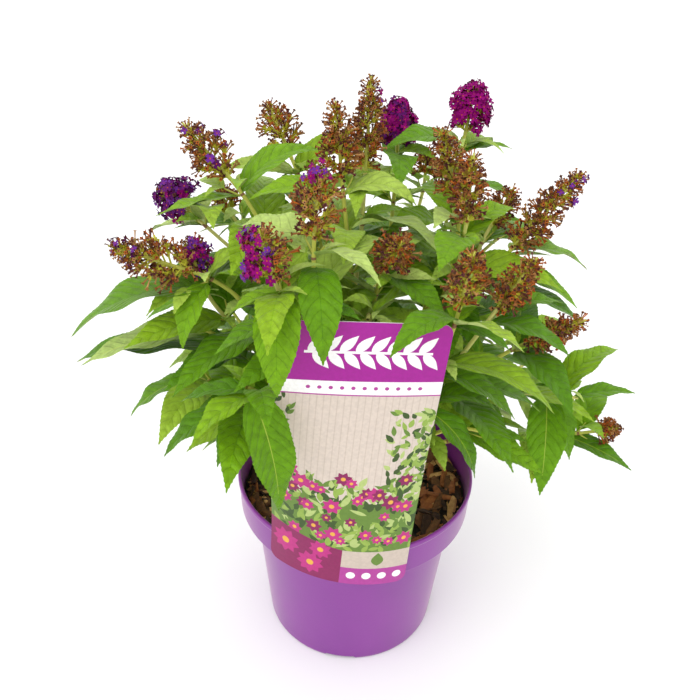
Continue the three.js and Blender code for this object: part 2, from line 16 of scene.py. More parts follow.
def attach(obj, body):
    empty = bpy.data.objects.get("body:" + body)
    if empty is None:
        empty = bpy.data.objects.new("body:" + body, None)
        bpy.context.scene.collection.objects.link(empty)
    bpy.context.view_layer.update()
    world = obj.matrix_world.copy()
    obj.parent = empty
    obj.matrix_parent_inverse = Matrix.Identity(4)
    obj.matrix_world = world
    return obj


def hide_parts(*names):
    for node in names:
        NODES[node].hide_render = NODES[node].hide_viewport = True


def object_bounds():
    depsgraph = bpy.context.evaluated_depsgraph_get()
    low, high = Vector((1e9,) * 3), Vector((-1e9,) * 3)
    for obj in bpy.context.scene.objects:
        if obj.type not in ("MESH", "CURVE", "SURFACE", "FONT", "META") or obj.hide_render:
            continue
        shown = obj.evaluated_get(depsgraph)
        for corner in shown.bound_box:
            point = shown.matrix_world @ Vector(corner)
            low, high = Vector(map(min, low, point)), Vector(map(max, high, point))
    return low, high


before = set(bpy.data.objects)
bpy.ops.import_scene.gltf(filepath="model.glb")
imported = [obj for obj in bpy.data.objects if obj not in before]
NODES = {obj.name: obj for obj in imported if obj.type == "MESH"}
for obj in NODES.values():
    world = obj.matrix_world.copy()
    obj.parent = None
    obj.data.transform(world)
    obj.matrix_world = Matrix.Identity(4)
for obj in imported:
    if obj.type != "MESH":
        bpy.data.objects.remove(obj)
CAD_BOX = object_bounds()
FOLIAGE = [name for name in NODES if name.startswith("foliage_")]
WOOD = ["main_stem", *[name for name in NODES if name.startswith("limb_")]]

MM = 0.001
GAP = 0.3
UP = np.array([0.0, 0.0, 1.0])
WORD = 0xFFFFFFFF

# ---- The plant's sizes and its rule of growth, as in the part ----

BARK_LEVEL = 131
STEM = dict(height=54, base=8.6, top=7.6, flare=12, flare_height=9, lean=3)
# Where limbs leave the main stem: how high, how far out from its axis, and how far from upright.
TIERS = {
    "leader": (50, 0, 0),
    "head": (50, 5.4, 16),
    "shoulder": (38, 1, 46),
    "waist": (25, 1, 58),
    "skirt": (13, 1, 64),
}
LIMB = dict(base=2.3, tip=1.5, share=0.34)
TWIG = dict(radius=1.5, tip=1.2, leave=34, pieces=3)
LEAF = dict(
    length=76,
    slenderness=0.35,
    thickness=0.0125,
    fold=0.22,
    neck=0.7,
    spacing=31,
    angle=62,
    lift=0.28,
    sag=36,
    least_droop=16,
    lowest=190,
    tries=((0, 1), (20, 0.92), (-20, 0.92), (42, 0.8), (-42, 0.8)),
    stalk=0.2,
)
SPIKE = dict(columns=8, row_height=10, core=0.42, forward=0.3, sunk=2)

# name, tier, limb's azimuth on the main stem, how far it leaves, turn of its first pair, seed;
# shoots: (azimuth, reach, height) of the tip, its slope, (length, radius) of its spike, its fork;
# large leaves: shoot, share of its path, tip, bend.
MASSES = [
    ("front", "head", -128, None, 0, 23,
     [((-114, 76, 384), 96, (50, 18), 1), ((-121, 103, 366), 72, (42, 19), 0.5)],
     [(1, 0.9, (-111, 136, 309), 112), (0, 0.91, (-101, 120, 326), 100)]),
    ("front_middle", "head", -74, None, 10, 81,
     [((-71, 45, 357), 44, (40, 16), 1), ((-88, 74, 332), 10, None, 0.5)], []),
    ("right_high", "head", 2, None, 85, 22,
     [((7, 60, 382), 106, (54, 14), 1), ((-20, 68, 378), 90, (50, 14), 0.55)], []),
    ("back_high", "head", 68, None, 80, 35,
     [((71, 65, 400), 94, (36, 16), 1), ((67, 121, 361), 90, (24, 12), 0.45)], []),
    ("back_left_high", "head", 138, None, 40, 79,
     [((138, 73, 392), 56, (46, 18), 1), ((149, 119, 345), 60, (24, 13), 0.45)], []),
    ("top", "leader", 0, None, 70, 33,
     [((-174, 17, 397), 84, (54, 15), 1), ((94, 20, 396), 84, (64, 14), 0.6)], []),
    ("front_right", "shoulder", -52, None, 55, 45,
     [((-55, 100, 349), 80, (44, 15), 1), ((-36, 105, 338), 64, (46, 14), 0.45)],
     [(0, 0.95, (-83, 122, 335), 70), (0, 0.72, (-40, 132, 267), 56),
      (0, 0.92, (-45, 128, 322), 56), (1, 0.92, (-24, 150, 332), 56)]),
    ("right", "shoulder", -6, None, 30, 82,
     [((-6, 101, 357), 57, (68, 15), 1), ((10, 89, 360), 54, (34, 13), 0.5)],
     [(0, 0.98, (0, 155, 335), 56), (0, 0.9, (-12, 147, 321), 56)]),
    ("back_right_high", "shoulder", 44, None, 0, 70,
     [((41, 91, 411), 80, (38, 17), 1), ((26, 122, 342), 40, None, 0.45)],
     [(0, 0.94, (31, 122, 398), 56)]),
    ("left_high", "shoulder", 176, None, 85, 61,
     [((174, 93, 390), 50, (50, 18), 1), ((171, 124, 360), 42, (32, 17), 0.55)], []),
    ("left", "waist", -156, None, 65, 92,
     [((-161, 118, 343), 26, (60, 20), 1), ((-168, 113, 337), 84, (28, 15), 0.5)],
     [(0, 0.9, (-167, 201, 294), 60), (0, 0.94, (-154, 142, 298), 80), (0, 0.8, (-129, 92, 322), 40)]),
    ("right_low", "waist", -24, None, 55, 34,
     [((-22, 121, 303), 38, (46, 12), 1), ((-12, 160, 250), 4, None, 0.5)],
     [(1, 0.8, (-34, 153, 203), 70), (1, 0.97, (-9, 200, 254), 40)]),
    ("back_low", "waist", 104, None, 30, 28,
     [((104, 140, 272), 40, (44, 15), 1), ((84, 146, 246), 14, None, 0.45)], []),
    ("right_skirt", "skirt", -2, 40, 35, 96,
     [((-9, 181, 217), 20, (20, 10), 1), ((16, 150, 238), 8, None, 0.45)],
     [(0, 0.86, (-15, 207, 201), 30)]),
    ("front_right_low", "skirt", -48, None, 75, 28,
     [((-43, 112, 250), 14, None, 1), ((-62, 92, 272), 20, None, 0.4)],
     [(1, 0.93, (-51, 124, 226), 70), (0, 0.9, (-32, 136, 239), 40)]),
    ("front_left_low", "skirt", -118, None, 50, 51,
     [((-124, 125, 299), 40, None, 1), ((-138, 114, 266), 14, None, 0.45)],
     [(0, 0.98, (-111, 138, 222), 60), (0, 0.96, (-140, 148, 280), 50),
      (1, 0.97, (-142, 161, 238), 50), (1, 0.8, (-134, 134, 228), 60)]),
    ("left_low", "skirt", -164, None, 45, 26,
     [((-161, 116, 300), 30, None, 1), ((-173, 128, 244), 10, None, 0.45)],
     [(0, 0.97, (-165, 197, 275), 36), (0, 0.84, (-174, 206, 258), 50),
      (0, 0.8, (-148, 150, 276), 56), (1, 0.94, (-171, 172, 214), 56)]),
    ("back_left_low", "skirt", 150, None, 85, 27,
     [((150, 140, 276), 40, (36, 14), 1), ((128, 132, 242), 14, None, 0.45)], []),
    ("back_right_low", "skirt", 52, None, 0, 29,
     [((58, 138, 282), 36, (40, 15), 1), ((36, 148, 244), 14, None, 0.45)], []),
]

# ---- Small helpers ----


def linear(red, green, blue):
    """A colour on the screen, from 0 to 255, as the shader's linear numbers."""
    channel = [c / 255 for c in (red, green, blue)]
    return (*[c / 12.92 if c <= 0.04045 else ((c + 0.055) / 1.055) ** 2.4 for c in channel], 1.0)


def seeded(seed):
    """Repeatable random numbers from 0 to 1 (the mulberry32 generator)."""
    state = seed & WORD

    def draw():
        nonlocal state
        state = (state + 0x6D2B79F5) & WORD
        t = (state ^ (state >> 15)) * (state | 1) & WORD
        t = ((t + ((t ^ (t >> 7)) * (t | 61) & WORD)) & WORD) ^ t
        return (t ^ (t >> 14)) / 4294967296

    return draw


def lerp(a, b, t):
    return a + (b - a) * t


def smoothstep(x, low, high):
    t = np.clip((x - low) / (high - low), 0, 1)
    return t * t * (3 - 2 * t)


def unit(v):
    return v / np.linalg.norm(v)


def ring_angles(sides):
    return np.arange(sides) * 2 * np.pi / sides


def along(azimuth, radius, height):
    a = math.radians(azimuth)
    return np.array([radius * math.cos(a), radius * math.sin(a), height])


def turned_about(v, axis, angle):
    """v turned about a unit axis, by Rodrigues' formula."""
    c, s = math.cos(angle), math.sin(angle)
    return v * c + np.cross(axis, v) * s + axis * np.dot(axis, v) * (1 - c)


class Soup:
    """Many small shapes joined into one mesh: corners, triangles, and each triangle's material."""

    def __init__(self):
        self.points, self.faces, self.paints, self.maps = [], [], [], []

    def add(self, points, faces, paint, maps=None):
        faces = np.asarray(faces)
        if faces.shape[1] == 4:
            faces = halved(faces)
            paint = np.tile(paint, 2) if np.ndim(paint) else paint
        self.points.append(points)
        self.faces.append(faces)
        self.paints.append(np.full(len(faces), paint) if np.ndim(paint) == 0 else np.asarray(paint))
        self.maps.append(np.zeros((len(points), 2)) if maps is None else maps)

    def joined(self):
        """All that was added, as one set of corners, triangles, paints and map places."""
        starts = np.cumsum([0] + [len(points) for points in self.points])
        faces = np.concatenate([faces + start for faces, start in zip(self.faces, starts)])
        return np.concatenate(self.points), faces, np.concatenate(self.paints), np.concatenate(self.maps)

    def stamp(self, template, origins, frames, paints):
        """Copies of a template, one at each origin, with its axes as rows and a row of paints each."""
        points, faces = template
        placed = np.einsum("vk,nkj->nvj", points, frames) + origins[:, None, :]
        offset = (np.arange(len(origins)) * len(points))[:, None, None]
        self.add(placed.reshape(-1, 3), (faces[None] + offset).reshape(-1, 3), paints.reshape(-1))

    def piece(self, name, materials, sharp=None):
        mesh = bpy.data.meshes.new(name)
        points, faces, paints, maps = self.joined()
        points = points * MM
        mesh.vertices.add(len(points))
        mesh.vertices.foreach_set("co", points.astype(np.float32).ravel())
        mesh.loops.add(faces.size)
        mesh.loops.foreach_set("vertex_index", faces.astype(np.int32).ravel())
        mesh.polygons.add(len(faces))
        mesh.polygons.foreach_set("loop_start", np.arange(0, faces.size, 3, dtype=np.int32))
        mesh.polygons.foreach_set("material_index", paints.astype(np.int32))
        layer = mesh.uv_layers.new(name="UVMap")
        layer.uv.foreach_set("vector", maps[faces.ravel()].astype(np.float32).ravel())
        for material in materials:
            mesh.materials.append(material)
        mesh.update(calc_edges=True)
        mesh.validate()
        mesh.shade_smooth()
        if sharp:
            mesh.set_sharp_from_angle(angle=math.radians(sharp))
        return linked(name, mesh)


def linked(name, data):
    """A new object of the scene that shows this mesh, light or camera."""
    obj = bpy.data.objects.new(name, data)
    bpy.context.scene.collection.objects.link(obj)
    return obj


def halved(quads):
    """Quads as triangles: first one half of each, then the other halves."""
    return np.concatenate([quads[:, [0, 1, 2]], quads[:, [0, 2, 3]]])


def fan(centre, sides, start=0, back=False):
    """Triangles between a centre and a ring, whose corners begin at start; back turns them over."""
    here = np.arange(sides)
    after = (here + 1) % sides
    first, second = (after, here) if back else (here, after)
    return np.stack([np.full(sides, centre), start + first, start + second], axis=1)


def grid_faces(rows, columns, closed=False):
    """Quads of a grid of corners that is rows by columns, wrapped round if it is closed."""
    i = np.arange(rows - 1)[:, None] * columns
    j = np.arange(columns if closed else columns - 1)[None, :]
    a = (i + j).ravel()
    b = (i + (j + 1) % columns).ravel()
    return np.stack([a, b, b + columns, a + columns], axis=1)


def tube(points, tangents, side, radii, sides=8, squareness=0.0):
    """Corners and quads of a tapering tube; squareness swells its four corners."""
    angles = ring_angles(sides)
    other = np.cross(side, tangents)
    ring = 1 + squareness * np.cos(4 * angles)
    reach = np.asarray(radii)[:, None] * ring[None, :]
    corners = (
        points[:, None, :]
        + (reach * np.cos(angles))[..., None] * side
        + (reach * np.sin(angles))[..., None] * other[:, None, :]
    )
    return corners.reshape(-1, 3), grid_faces(len(points), sides, closed=True)


def rod(foot, axis, places, side, radii, sides):
    """A straight tapering tube, with a ring at each of these places along its axis."""
    points = foot + axis * np.asarray(places)[:, None]
    return tube(points, np.tile(axis, (len(points), 1)), side, radii, sides)


# ---- Growth: paths, leaves and the room that they need ----


PULL = 0.36  # how far a path's inner knees stand from its ends, over the way between them
WIDEST = 0.36  # how far up its midrib a leaf is widest
LAST_RING = 0.7  # how far up the last ring of its plain shape is
LAST_WIDTH = 0.66  # the width there, over the widest


class ShootPath:
    """A path in an upright plane: leave is from upright at its foot, rise from level at its tip."""

    def __init__(self, foot, leave, tip, rise):
        end = along(*tip)
        out = unit(np.array([end[0] - foot[0], end[1] - foot[1], 0]))
        pull = np.linalg.norm(end - foot) * PULL

        def heading(slope):
            return pull * (out * math.cos(math.radians(slope)) + UP * math.sin(math.radians(slope)))

        self.knees = np.array([foot, foot + heading(90 - leave), end - heading(rise), end])
        self.side = np.cross(out, UP)
        steps = self.at(np.linspace(0, 1, 201))
        self.length = np.linalg.norm(np.diff(steps, axis=0), axis=1).sum()

    def at(self, t):
        t = np.asarray(t, float)[..., None]
        k = 1 - t
        a, b, c, d = self.knees
        return k**3 * a + 3 * k * k * t * b + 3 * k * t * t * c + t**3 * d

    def tangent(self, t):
        t = np.asarray(t, float)
        step = self.at(np.minimum(t + 1e-4, 1)) - self.at(np.maximum(t - 1e-4, 0))
        return step / np.linalg.norm(step, axis=-1, keepdims=True)


def foot_on(path, start, t):
    """A point on the straight piece of a shoot's stem that holds t."""
    pieces = TWIG["pieces"]
    piece = min(pieces - 1, int((t - start) / (1 - start) * pieces))
    low, high = lerp(start, 1, piece / pieces), lerp(start, 1, (piece + 1) / pieces)
    return lerp(path.at(low), path.at(high), (t - low) / (high - low))


class Leaf:
    """A midrib that leaves foot along start and bends down by droop degrees; roll turns the blade.

    Its tangent is its shoot's direction there, and its share is how far up the shoot it stands.
    """

    def __init__(self, foot, start, droop, length, roll, tangent=None, share=0.5):
        self.foot, self.start, self.droop, self.length, self.roll = foot, start, droop, length, roll
        self.tangent, self.share = tangent, share

    def line(self, s):
        """Points along the midrib, with the blade's side and face directions there."""
        s = np.asarray(s, float)[:, None]
        level = unit(np.array([self.start[0], self.start[1], 0]))
        pitch = math.asin(min(1, max(-1, self.start[2])))
        bend = math.radians(self.droop)
        now = pitch - bend * s
        radius = self.length / bend
        point = self.foot + level * radius * (math.sin(pitch) - np.sin(now))
        point = point + UP * radius * (np.cos(now) - math.cos(pitch))
        ahead = level * np.cos(now) + UP * np.sin(now)
        across = np.cross(level, UP)
        side = across * math.cos(self.roll) + np.cross(ahead, across) * math.sin(self.roll)
        return point, side, np.cross(side, ahead)

    def tip(self):
        return self.line([1])[0][0]

    def turned(self, swing, share):
        start = turned_about(self.start, UP, math.radians(swing))
        length = self.length * share
        return Leaf(self.foot, start, self.droop, length, self.roll, self.tangent, self.share)

    def forms(self, grow=0.0):
        """Its shape for other nodes, and the one without its stalk for its own mass."""
        return self.shape(grow), self.shape(grow, LEAF["stalk"])

    def shape(self, grow, start=0.0):
        """Its plain four-cornered shape from start on, grown all round."""
        half = self.length * LEAF["slenderness"] / 2
        thick = self.length * LEAF["thickness"] / 2
        shares = (max(LEAF["neck"] / half, start / WIDEST), 1, LAST_WIDTH)
        point, side, face = self.line([start, WIDEST, LAST_RING, 1 + grow / self.length])
        rings = []
        for k, share in enumerate(shares):
            wide, rise = half * share + grow, half * share * LEAF["fold"]
            p, x, z = point[k], side[k], face[k]
            rings += [p + x * wide + z * rise, p + z * (thick + grow)]
            rings += [p - x * wide + z * rise, p - z * (thick + grow)]
        faces = [(0, 1, 2), (0, 2, 3)]
        for r in (0, 4):
            faces += [(r + k, r + (k + 1) % 4, r + 4 + (k + 1) % 4) for k in range(4)]
            faces += [(r + k, r + 4 + (k + 1) % 4, r + 4 + k) for k in range(4)]
        faces += [(8 + k, 8 + (k + 1) % 4, 12) for k in range(4)]
        return Shape(np.array([*rings, point[3]]), faces)


class Shape:
    """A closed shape that others are tested against."""

    def __init__(self, points, faces):
        self.low, self.high = points.min(0), points.max(0)
        self.tree = BVHTree.FromPolygons([Vector(p) for p in points], faces)

    @classmethod
    def of_node(cls, name):
        mesh = NODES[name].data
        points = np.array([v.co for v in mesh.vertices]) / MM
        return cls(points, [tuple(p.vertices) for p in mesh.polygons])


class Room:
    """What a leaf has to keep clear of: other nodes whole, and its own mass but for leaves' stalks."""

    def __init__(self):
        self.nodes, self.wholes, self.clears, self.lows, self.highs = [], [], [], [], []

    def take(self, node, whole, clear=None):
        self.nodes.append(node)
        self.wholes.append(whole)
        self.clears.append(clear or whole)
        self.lows.append(whole.low)
        self.highs.append(whole.high)

    def meets(self, node, whole, clear):
        lows, highs = np.array(self.lows), np.array(self.highs)
        near = np.flatnonzero(((lows <= whole.high) & (highs >= whole.low)).all(axis=1))
        for k in near:
            own = self.nodes[k] == node
            mine, theirs = (clear, self.clears[k]) if own else (whole, self.wholes[k])
            if mine.tree.overlap(theirs.tree):
                return True
        return False

    def settled(self, node, leaf):
        """The leaf where it has room: as it is, turned aside and shrunk a little, or not at all."""
        for swing, share in LEAF["tries"]:
            tried = leaf.turned(swing, share)
            if tried.tip()[2] >= LEAF["lowest"] and not self.meets(node, *tried.forms(GAP)):
                return tried
        return None


def rings_shape(rings):
    """A closed shape over rings of corners, of which the first and last may be one point."""
    starts = np.cumsum([0] + [len(r) for r in rings])
    faces = []
    for r in range(len(rings) - 1):
        below, above = len(rings[r]), len(rings[r + 1])
        for k in range(max(below, above)):
            a, b = starts[r] + k % below, starts[r] + (k + 1) % below
            c, d = starts[r + 1] + (k + 1) % above, starts[r + 1] + k % above
            faces += [f for f in ((a, b, c), (a, c, d)) if len(set(f)) == 3]
    return Shape(np.concatenate(rings), [tuple(int(i) for i in f) for f in faces])


def stem_shape(path, start, end, radius_at, pieces):
    rings = []
    turns = ((1, 0), (0, 1), (-1, 0), (0, -1))
    for k in range(pieces + 1):
        t = lerp(start, end, k / pieces)
        other = np.cross(path.side, path.tangent(t))
        middle, radius = path.at(t), radius_at(t)
        rings.append(np.array([middle + radius * (x * path.side + y * other) for x, y in turns]))
    return rings_shape(rings)


def spike_reach(radius, share):
    """Full soon above its foot, and blunt at its tip."""
    return radius * min(1, 0.5 + 2.5 * share) * (1 - 0.75 * share**2.2)


def spike_shape(path, length, radius, random):
    axis = path.tangent(1)
    other = np.cross(path.side, axis)
    base = path.at(1) - SPIKE["sunk"] * axis
    rows = max(3, int(length / SPIKE["row_height"] + 0.5))
    rings = [np.array([base])]
    for row in range(rows):
        share = row / rows
        reach = spike_reach(radius, share)
        ring = []
        for k in range(SPIKE["columns"]):
            drawn = lerp(0.85, 1.12, random()) if (row + k) % 2 == 0 else SPIKE["core"]
            angle = (k + lerp(-0.15, 0.15, random())) * 2 * math.pi / SPIKE["columns"]
            up = (drawn - SPIKE["core"]) * SPIKE["forward"] * reach
            out = path.side * math.cos(angle) + other * math.sin(angle)
            ring.append(base + axis * (length * share + up) + out * reach * drawn)
        rings.append(np.array(ring))
    rings.append(np.array([base + axis * length]))
    return rings_shape(rings)


def leaves_of(path, start, bare, random, turn):
    """The leaves of one shoot: opposite pairs from its foot to just under its spike."""
    span = path.length * (1 - start - bare)
    pairs = max(2, int(span / LEAF["spacing"] + 0.5))
    leaves = []
    for pair in range(pairs):
        share = (pair + 0.55) / pairs
        t = lerp(start + bare, 1, share)
        tangent = path.tangent(t)
        other = np.cross(path.side, tangent)
        for way in (0, 180):
            around = math.radians(turn + way + pair * 90 + lerp(-18, 18, random()))
            swell = math.sin(math.pi * lerp(0.35, 0.95, share))
            size = lerp(0.74, 1.08, swell) * lerp(0.8, 1.15, random())
            angle = math.radians(LEAF["angle"] * lerp(0.85, 1.15, random()))
            sag = LEAF["sag"] * lerp(0.4, 1.5, random())
            roll = lerp(-0.35, 0.35, random())
            outward = path.side * math.cos(around) + other * math.sin(around)
            heading = tangent * math.cos(angle) + outward * math.sin(angle)
            heading = unit(heading + UP * LEAF["lift"])
            droop = max(LEAF["least_droop"], math.degrees(math.asin(heading[2])) + sag)
            foot = foot_on(path, start, t)
            leaves.append(Leaf(foot, heading, droop, LEAF["length"] * size, roll, tangent, share))
    return leaves


def leaf_to(foot, tip, droop):
    """A leaf from foot whose tip is where it is told to be."""
    chord = along(*tip) - foot
    half = math.radians(droop) / 2
    level = math.hypot(chord[0], chord[1])
    pitch = math.atan2(chord[2], level) + half
    start = np.array([*(chord[:2] / level * math.cos(pitch)), math.sin(pitch)])
    return Leaf(foot, start, droop, np.linalg.norm(chord) * half / math.sin(half), 0.0)


class Growth:
    """One mass: its shoots, the spikes on them, and its leaves."""

    def __init__(self, name, tier, away, leave, turn, seed, shoots, large):
        height, out, tier_leave = TIERS[tier]
        lean = STEM["lean"] * height / STEM["height"]
        foot = along(away, out, BARK_LEVEL + GAP + height) + np.array([lean, 0, 0])
        random = seeded(seed)
        tip, rise, _, _ = shoots[0]
        self.name, self.node, self.seed = name, f"foliage_{name}", seed
        self.main = ShootPath(foot, tier_leave if leave is None else leave, tip, rise)
        first = LIMB["share"] + GAP / self.main.length
        self.shoots, self.joints, self.wanted, self.leaves = [], [], [], []
        for order, (tip, rise, spike, fork) in enumerate(shoots):
            path, start, radius_at = self.main, first, self.main_radius
            if order:
                path = ShootPath(foot_on(self.main, first, fork), TWIG["leave"], tip, rise)
                start, radius_at = 0.0, self.side_radius
            self.shoots.append((path, start, radius_at, spike, seeded(seed + 100 * (order + 1))))
            bare = 0.1 * order
            leaves = leaves_of(path, start, bare, random, turn + 45 * order)
            self.joints.append(sorted({lerp(start + bare, 1, leaf.share) for leaf in leaves}))
            self.wanted += leaves
        self.placed = []
        for order, t, tip, bend in large:
            path, start = self.shoots[order][:2]
            self.placed.append(leaf_to(foot_on(path, start, t), tip, bend))

    @staticmethod
    def main_radius(t):
        if t < LIMB["share"]:
            return lerp(LIMB["base"], LIMB["tip"], t / LIMB["share"])
        return lerp(LIMB["tip"], TWIG["tip"], (t - LIMB["share"]) / (1 - LIMB["share"]))

    @staticmethod
    def side_radius(t):
        return lerp(TWIG["radius"], TWIG["tip"], t)


def grow():
    """All masses, with their leaves settled, and the room that is taken."""
    room = Room()
    for name in ["pot", "bark", "card", *WOOD]:
        room.take(name, Shape.of_node(name))
    growths = [Growth(*mass) for mass in MASSES]
    for growth in growths:
        for path, start, radius_at, spike, random in growth.shoots:
            room.take(growth.node, stem_shape(path, start, 1, radius_at, TWIG["pieces"]))
            if spike:
                room.take(growth.node, spike_shape(path, *spike, random))
    for wanted in ("placed", "wanted"):
        for growth in growths:
            for leaf in getattr(growth, wanted):
                settled = room.settled(growth.node, leaf)
                if settled:
                    room.take(growth.node, *settled.forms())
                    growth.leaves.append(settled)
    return growths, room


# ---- Materials ----


class Paint:
    """A Principled material; its constant values go on the shader's own sockets."""

    def __init__(self, name, colour, roughness, **sockets):
        self.material = bpy.data.materials.new(name)
        self.material.use_nodes = True
        tree = self.material.node_tree
        self.nodes, self.link = tree.nodes, tree.links.new
        self.inputs = tree.nodes["Principled BSDF"].inputs
        sockets.update(Base_Color=colour, Roughness=roughness)
        for socket, value in sockets.items():
            self.inputs[socket.replace("_", " ")].default_value = value

    def fill(self, socket, value):
        if isinstance(value, bpy.types.NodeSocket):
            self.link(value, socket)
        else:
            socket.default_value = value

    def node(self, kind, **settings):
        """A node with its settings and its inputs' values or links, by name."""
        made = self.nodes.new(f"ShaderNode{kind}")
        for key, value in settings.items():
            if hasattr(made, key):
                setattr(made, key, value)
            else:
                self.fill(made.inputs[key], value)
        return made

    def maths(self, operation, *values):
        made = self.node("Math", operation=operation)
        for socket, value in zip(made.inputs, values):
            self.fill(socket, value)
        return made.outputs[0]

    def noise(self, scale, detail, roughness=0.5):
        """Noise in the object's own coordinates; scale is in cells a metre."""
        place = self.node("TexCoord").outputs["Object"]
        made = self.node("TexNoise", Vector=place, Scale=scale, Detail=detail, Roughness=roughness)
        return made.outputs["Fac"]

    def bump(self, height, distance, invert=False):
        made = self.node("Bump", Height=height, Distance=distance * MM, invert=invert)
        self.link(made.outputs["Normal"], self.inputs["Normal"])

    def blend(self, field, dark, light, places=(0.3, 0.7)):
        """The base colour goes from dark to light as the field goes from one place to the other."""
        ramp = self.node("ValToRGB", Fac=field)
        for element, place, colour in zip(ramp.color_ramp.elements, places, (dark, light)):
            element.position = place
            element.color = colour
        self.link(ramp.outputs["Color"], self.inputs["Base Color"])

    def tone(self, field, colour, spread):
        """The base colour is darker and lighter than colour by a share, spread."""
        dark, light = ((*[c * (1 + way * spread) for c in colour[:3]], 1.0) for way in (-1, 1))
        self.blend(field, dark, light, (0.35, 0.65))


MAP_UNIT = 10  # millimetres; a leaf's map is laid out across and along it in this unit
# Side veins of a leaf, in millimetres: how far apart, how they curve, how much they waver, and the
# net between them.
VEINS = dict(
    spacing=8.5, slope=0.95, curve=0.35, waver=8, relief=0.95, width=0.35,
    net_scale=5.5, net_width=0.12, net_relief=1.2,
)


def vein_phase(paint, place):
    """How many side veins lie between the leaf's foot and here; they curve forward and waver."""
    split = paint.node("SeparateXYZ", Vector=place)
    wander = paint.node("TexNoise", Vector=place, Scale=0.7, Detail=1.0).outputs["Fac"]
    aside = paint.maths("ABSOLUTE", split.outputs["X"])
    bent = paint.maths("MULTIPLY_ADD", aside, VEINS["curve"], VEINS["slope"])
    back = paint.maths("MULTIPLY", aside, bent)
    forward = paint.maths("SUBTRACT", split.outputs["Y"], back)
    forward = paint.maths("MULTIPLY_ADD", wander, VEINS["waver"] / MAP_UNIT, forward)
    return paint.maths("DIVIDE", forward, VEINS["spacing"] / MAP_UNIT)


def leaf_material(name, colour, roughness=0.46, below=False, **sockets):
    """A mottled blade with side veins and a fine net between them, sunk above and raised below."""
    paint = Paint(name, linear(*colour), roughness, **sockets)
    paint.tone(paint.noise(210, 4, 0.6), linear(*colour), 0.16)
    place = paint.node("UVMap", uv_map="UVMap").outputs["UV"]
    distance = paint.maths("PINGPONG", vein_phase(paint, place), 0.5)
    swell = paint.maths("POWER", paint.maths("MULTIPLY", distance, 2), VEINS["width"])
    net = paint.node("TexVoronoi", feature="DISTANCE_TO_EDGE", Vector=place, Scale=VEINS["net_scale"])
    mesh = paint.maths("MINIMUM", net.outputs["Distance"], VEINS["net_width"])
    height = paint.maths("MULTIPLY_ADD", mesh, VEINS["net_relief"], swell)
    paint.bump(height, VEINS["relief"], invert=below)
    return paint.material


def mottled(name, dark, light, roughness, scale, relief, places=(0.3, 0.7)):
    """A rough material whose colour follows noise, and whose relief follows finer noise."""
    paint = Paint(name, linear(*dark), roughness)
    paint.blend(paint.noise(scale, 4, 0.6), linear(*dark), linear(*light), places)
    paint.bump(paint.noise(scale * 2.2, 4, 0.65), relief)
    return paint.material


def plain_fibre(name, colour, roughness, relief=0.12, **sockets):
    """A plain base colour with fine relief, for small parts of the plant."""
    paint = Paint(name, linear(*colour), roughness, **sockets)
    paint.bump(paint.noise(1400, 2), relief)
    return paint.material


# Tones of the leaves, from deep ones low inside the plant, as painted shade, to pale ones higher up,
# as painted light from above.
GREENS = [
    (80, 128, 0), (94, 142, 0), (108, 154, 2), (122, 164, 10),
    (136, 173, 28), (150, 183, 52), (164, 192, 78), (178, 202, 106),
]
YOUNG = [(158, 190, 66), (178, 202, 100), (138, 178, 42)]
UNDERS = [(190, 208, 122), (172, 196, 102)]
# A soft down that looks pale where a leaf is seen aslant.
SATIN = dict(
    Specular_IOR_Level=0.2, Sheen_Weight=0.16, Sheen_Roughness=0.4, Sheen_Tint=(0.84, 1.0, 0.6, 1.0)
)
LEAF_PAINT = [leaf_material(f"leaf_{k}", colour, **SATIN) for k, colour in enumerate(GREENS)]
LEAF_PAINT += [leaf_material(f"young_{k}", colour, **SATIN) for k, colour in enumerate(YOUNG)]
LEAF_PAINT += [leaf_material(f"under_{k}", colour, 0.62, below=True) for k, colour in enumerate(UNDERS)]
LEAF_PAINT += [
    plain_fibre("midrib_above", (148, 174, 44), 0.5),
    plain_fibre("midrib_below", (200, 206, 90), 0.5),
]
FIRST_YOUNG = len(GREENS)
UNDER = FIRST_YOUNG + len(YOUNG)
RIB_ABOVE = UNDER + len(UNDERS)
RIB_BELOW = RIB_ABOVE + 1

STEM_PAINT = [
    plain_fibre("stem_green", (204, 206, 90), 0.55, 0.1),
    plain_fibre("stem_pale", (218, 214, 124), 0.55, 0.1),
    plain_fibre("branchlet", (208, 206, 70), 0.6, 0.08),
    plain_fibre("stem_joint", (150, 108, 74), 0.7, 0.1),
]
BRANCHLET, JOINT = 2, 3
# Each shade's tube and lobes.
BLOSSOM_COLOURS = {
    "rust": ((164, 108, 62), (148, 94, 52)),
    "tan": ((190, 144, 90), (170, 124, 74)),
    "umber": ((114, 72, 48), (94, 58, 38)),
    "ember": ((190, 102, 40), (162, 86, 36)),
    "mauve": ((118, 68, 64), (98, 54, 52)),
    "magenta": ((140, 8, 88), (134, 4, 104)),
    "plum": ((90, 16, 76), (90, 22, 96)),
    "violet": ((112, 34, 104), (106, 44, 140)),
}
BLOSSOM_PAINT = [
    plain_fibre(f"{part}_{shade}", colour, 0.75, 0.1, Specular_IOR_Level=0.1)
    for shade, colours in BLOSSOM_COLOURS.items()
    for part, colour in zip(("tube", "lobes"), colours)
]
BLOSSOM_PAINT += [
    plain_fibre("calyx", (206, 202, 60), 0.6, 0.08),
    plain_fibre("calyx_rust", (172, 140, 54), 0.6, 0.08),
    plain_fibre("eye", (214, 96, 24), 0.5, 0.05),
    # The hollow of a spent floret is painted dark, as the shade inside its tube.
    plain_fibre("hollow", (58, 30, 20), 0.8, 0.05),
]
CALYX = 2 * len(BLOSSOM_COLOURS)
EYE, THROAT_SHADE = CALYX + 2, CALYX + 3
SHADE = {shade: 2 * k for k, shade in enumerate(BLOSSOM_COLOURS)}

# ---- Leaves ----


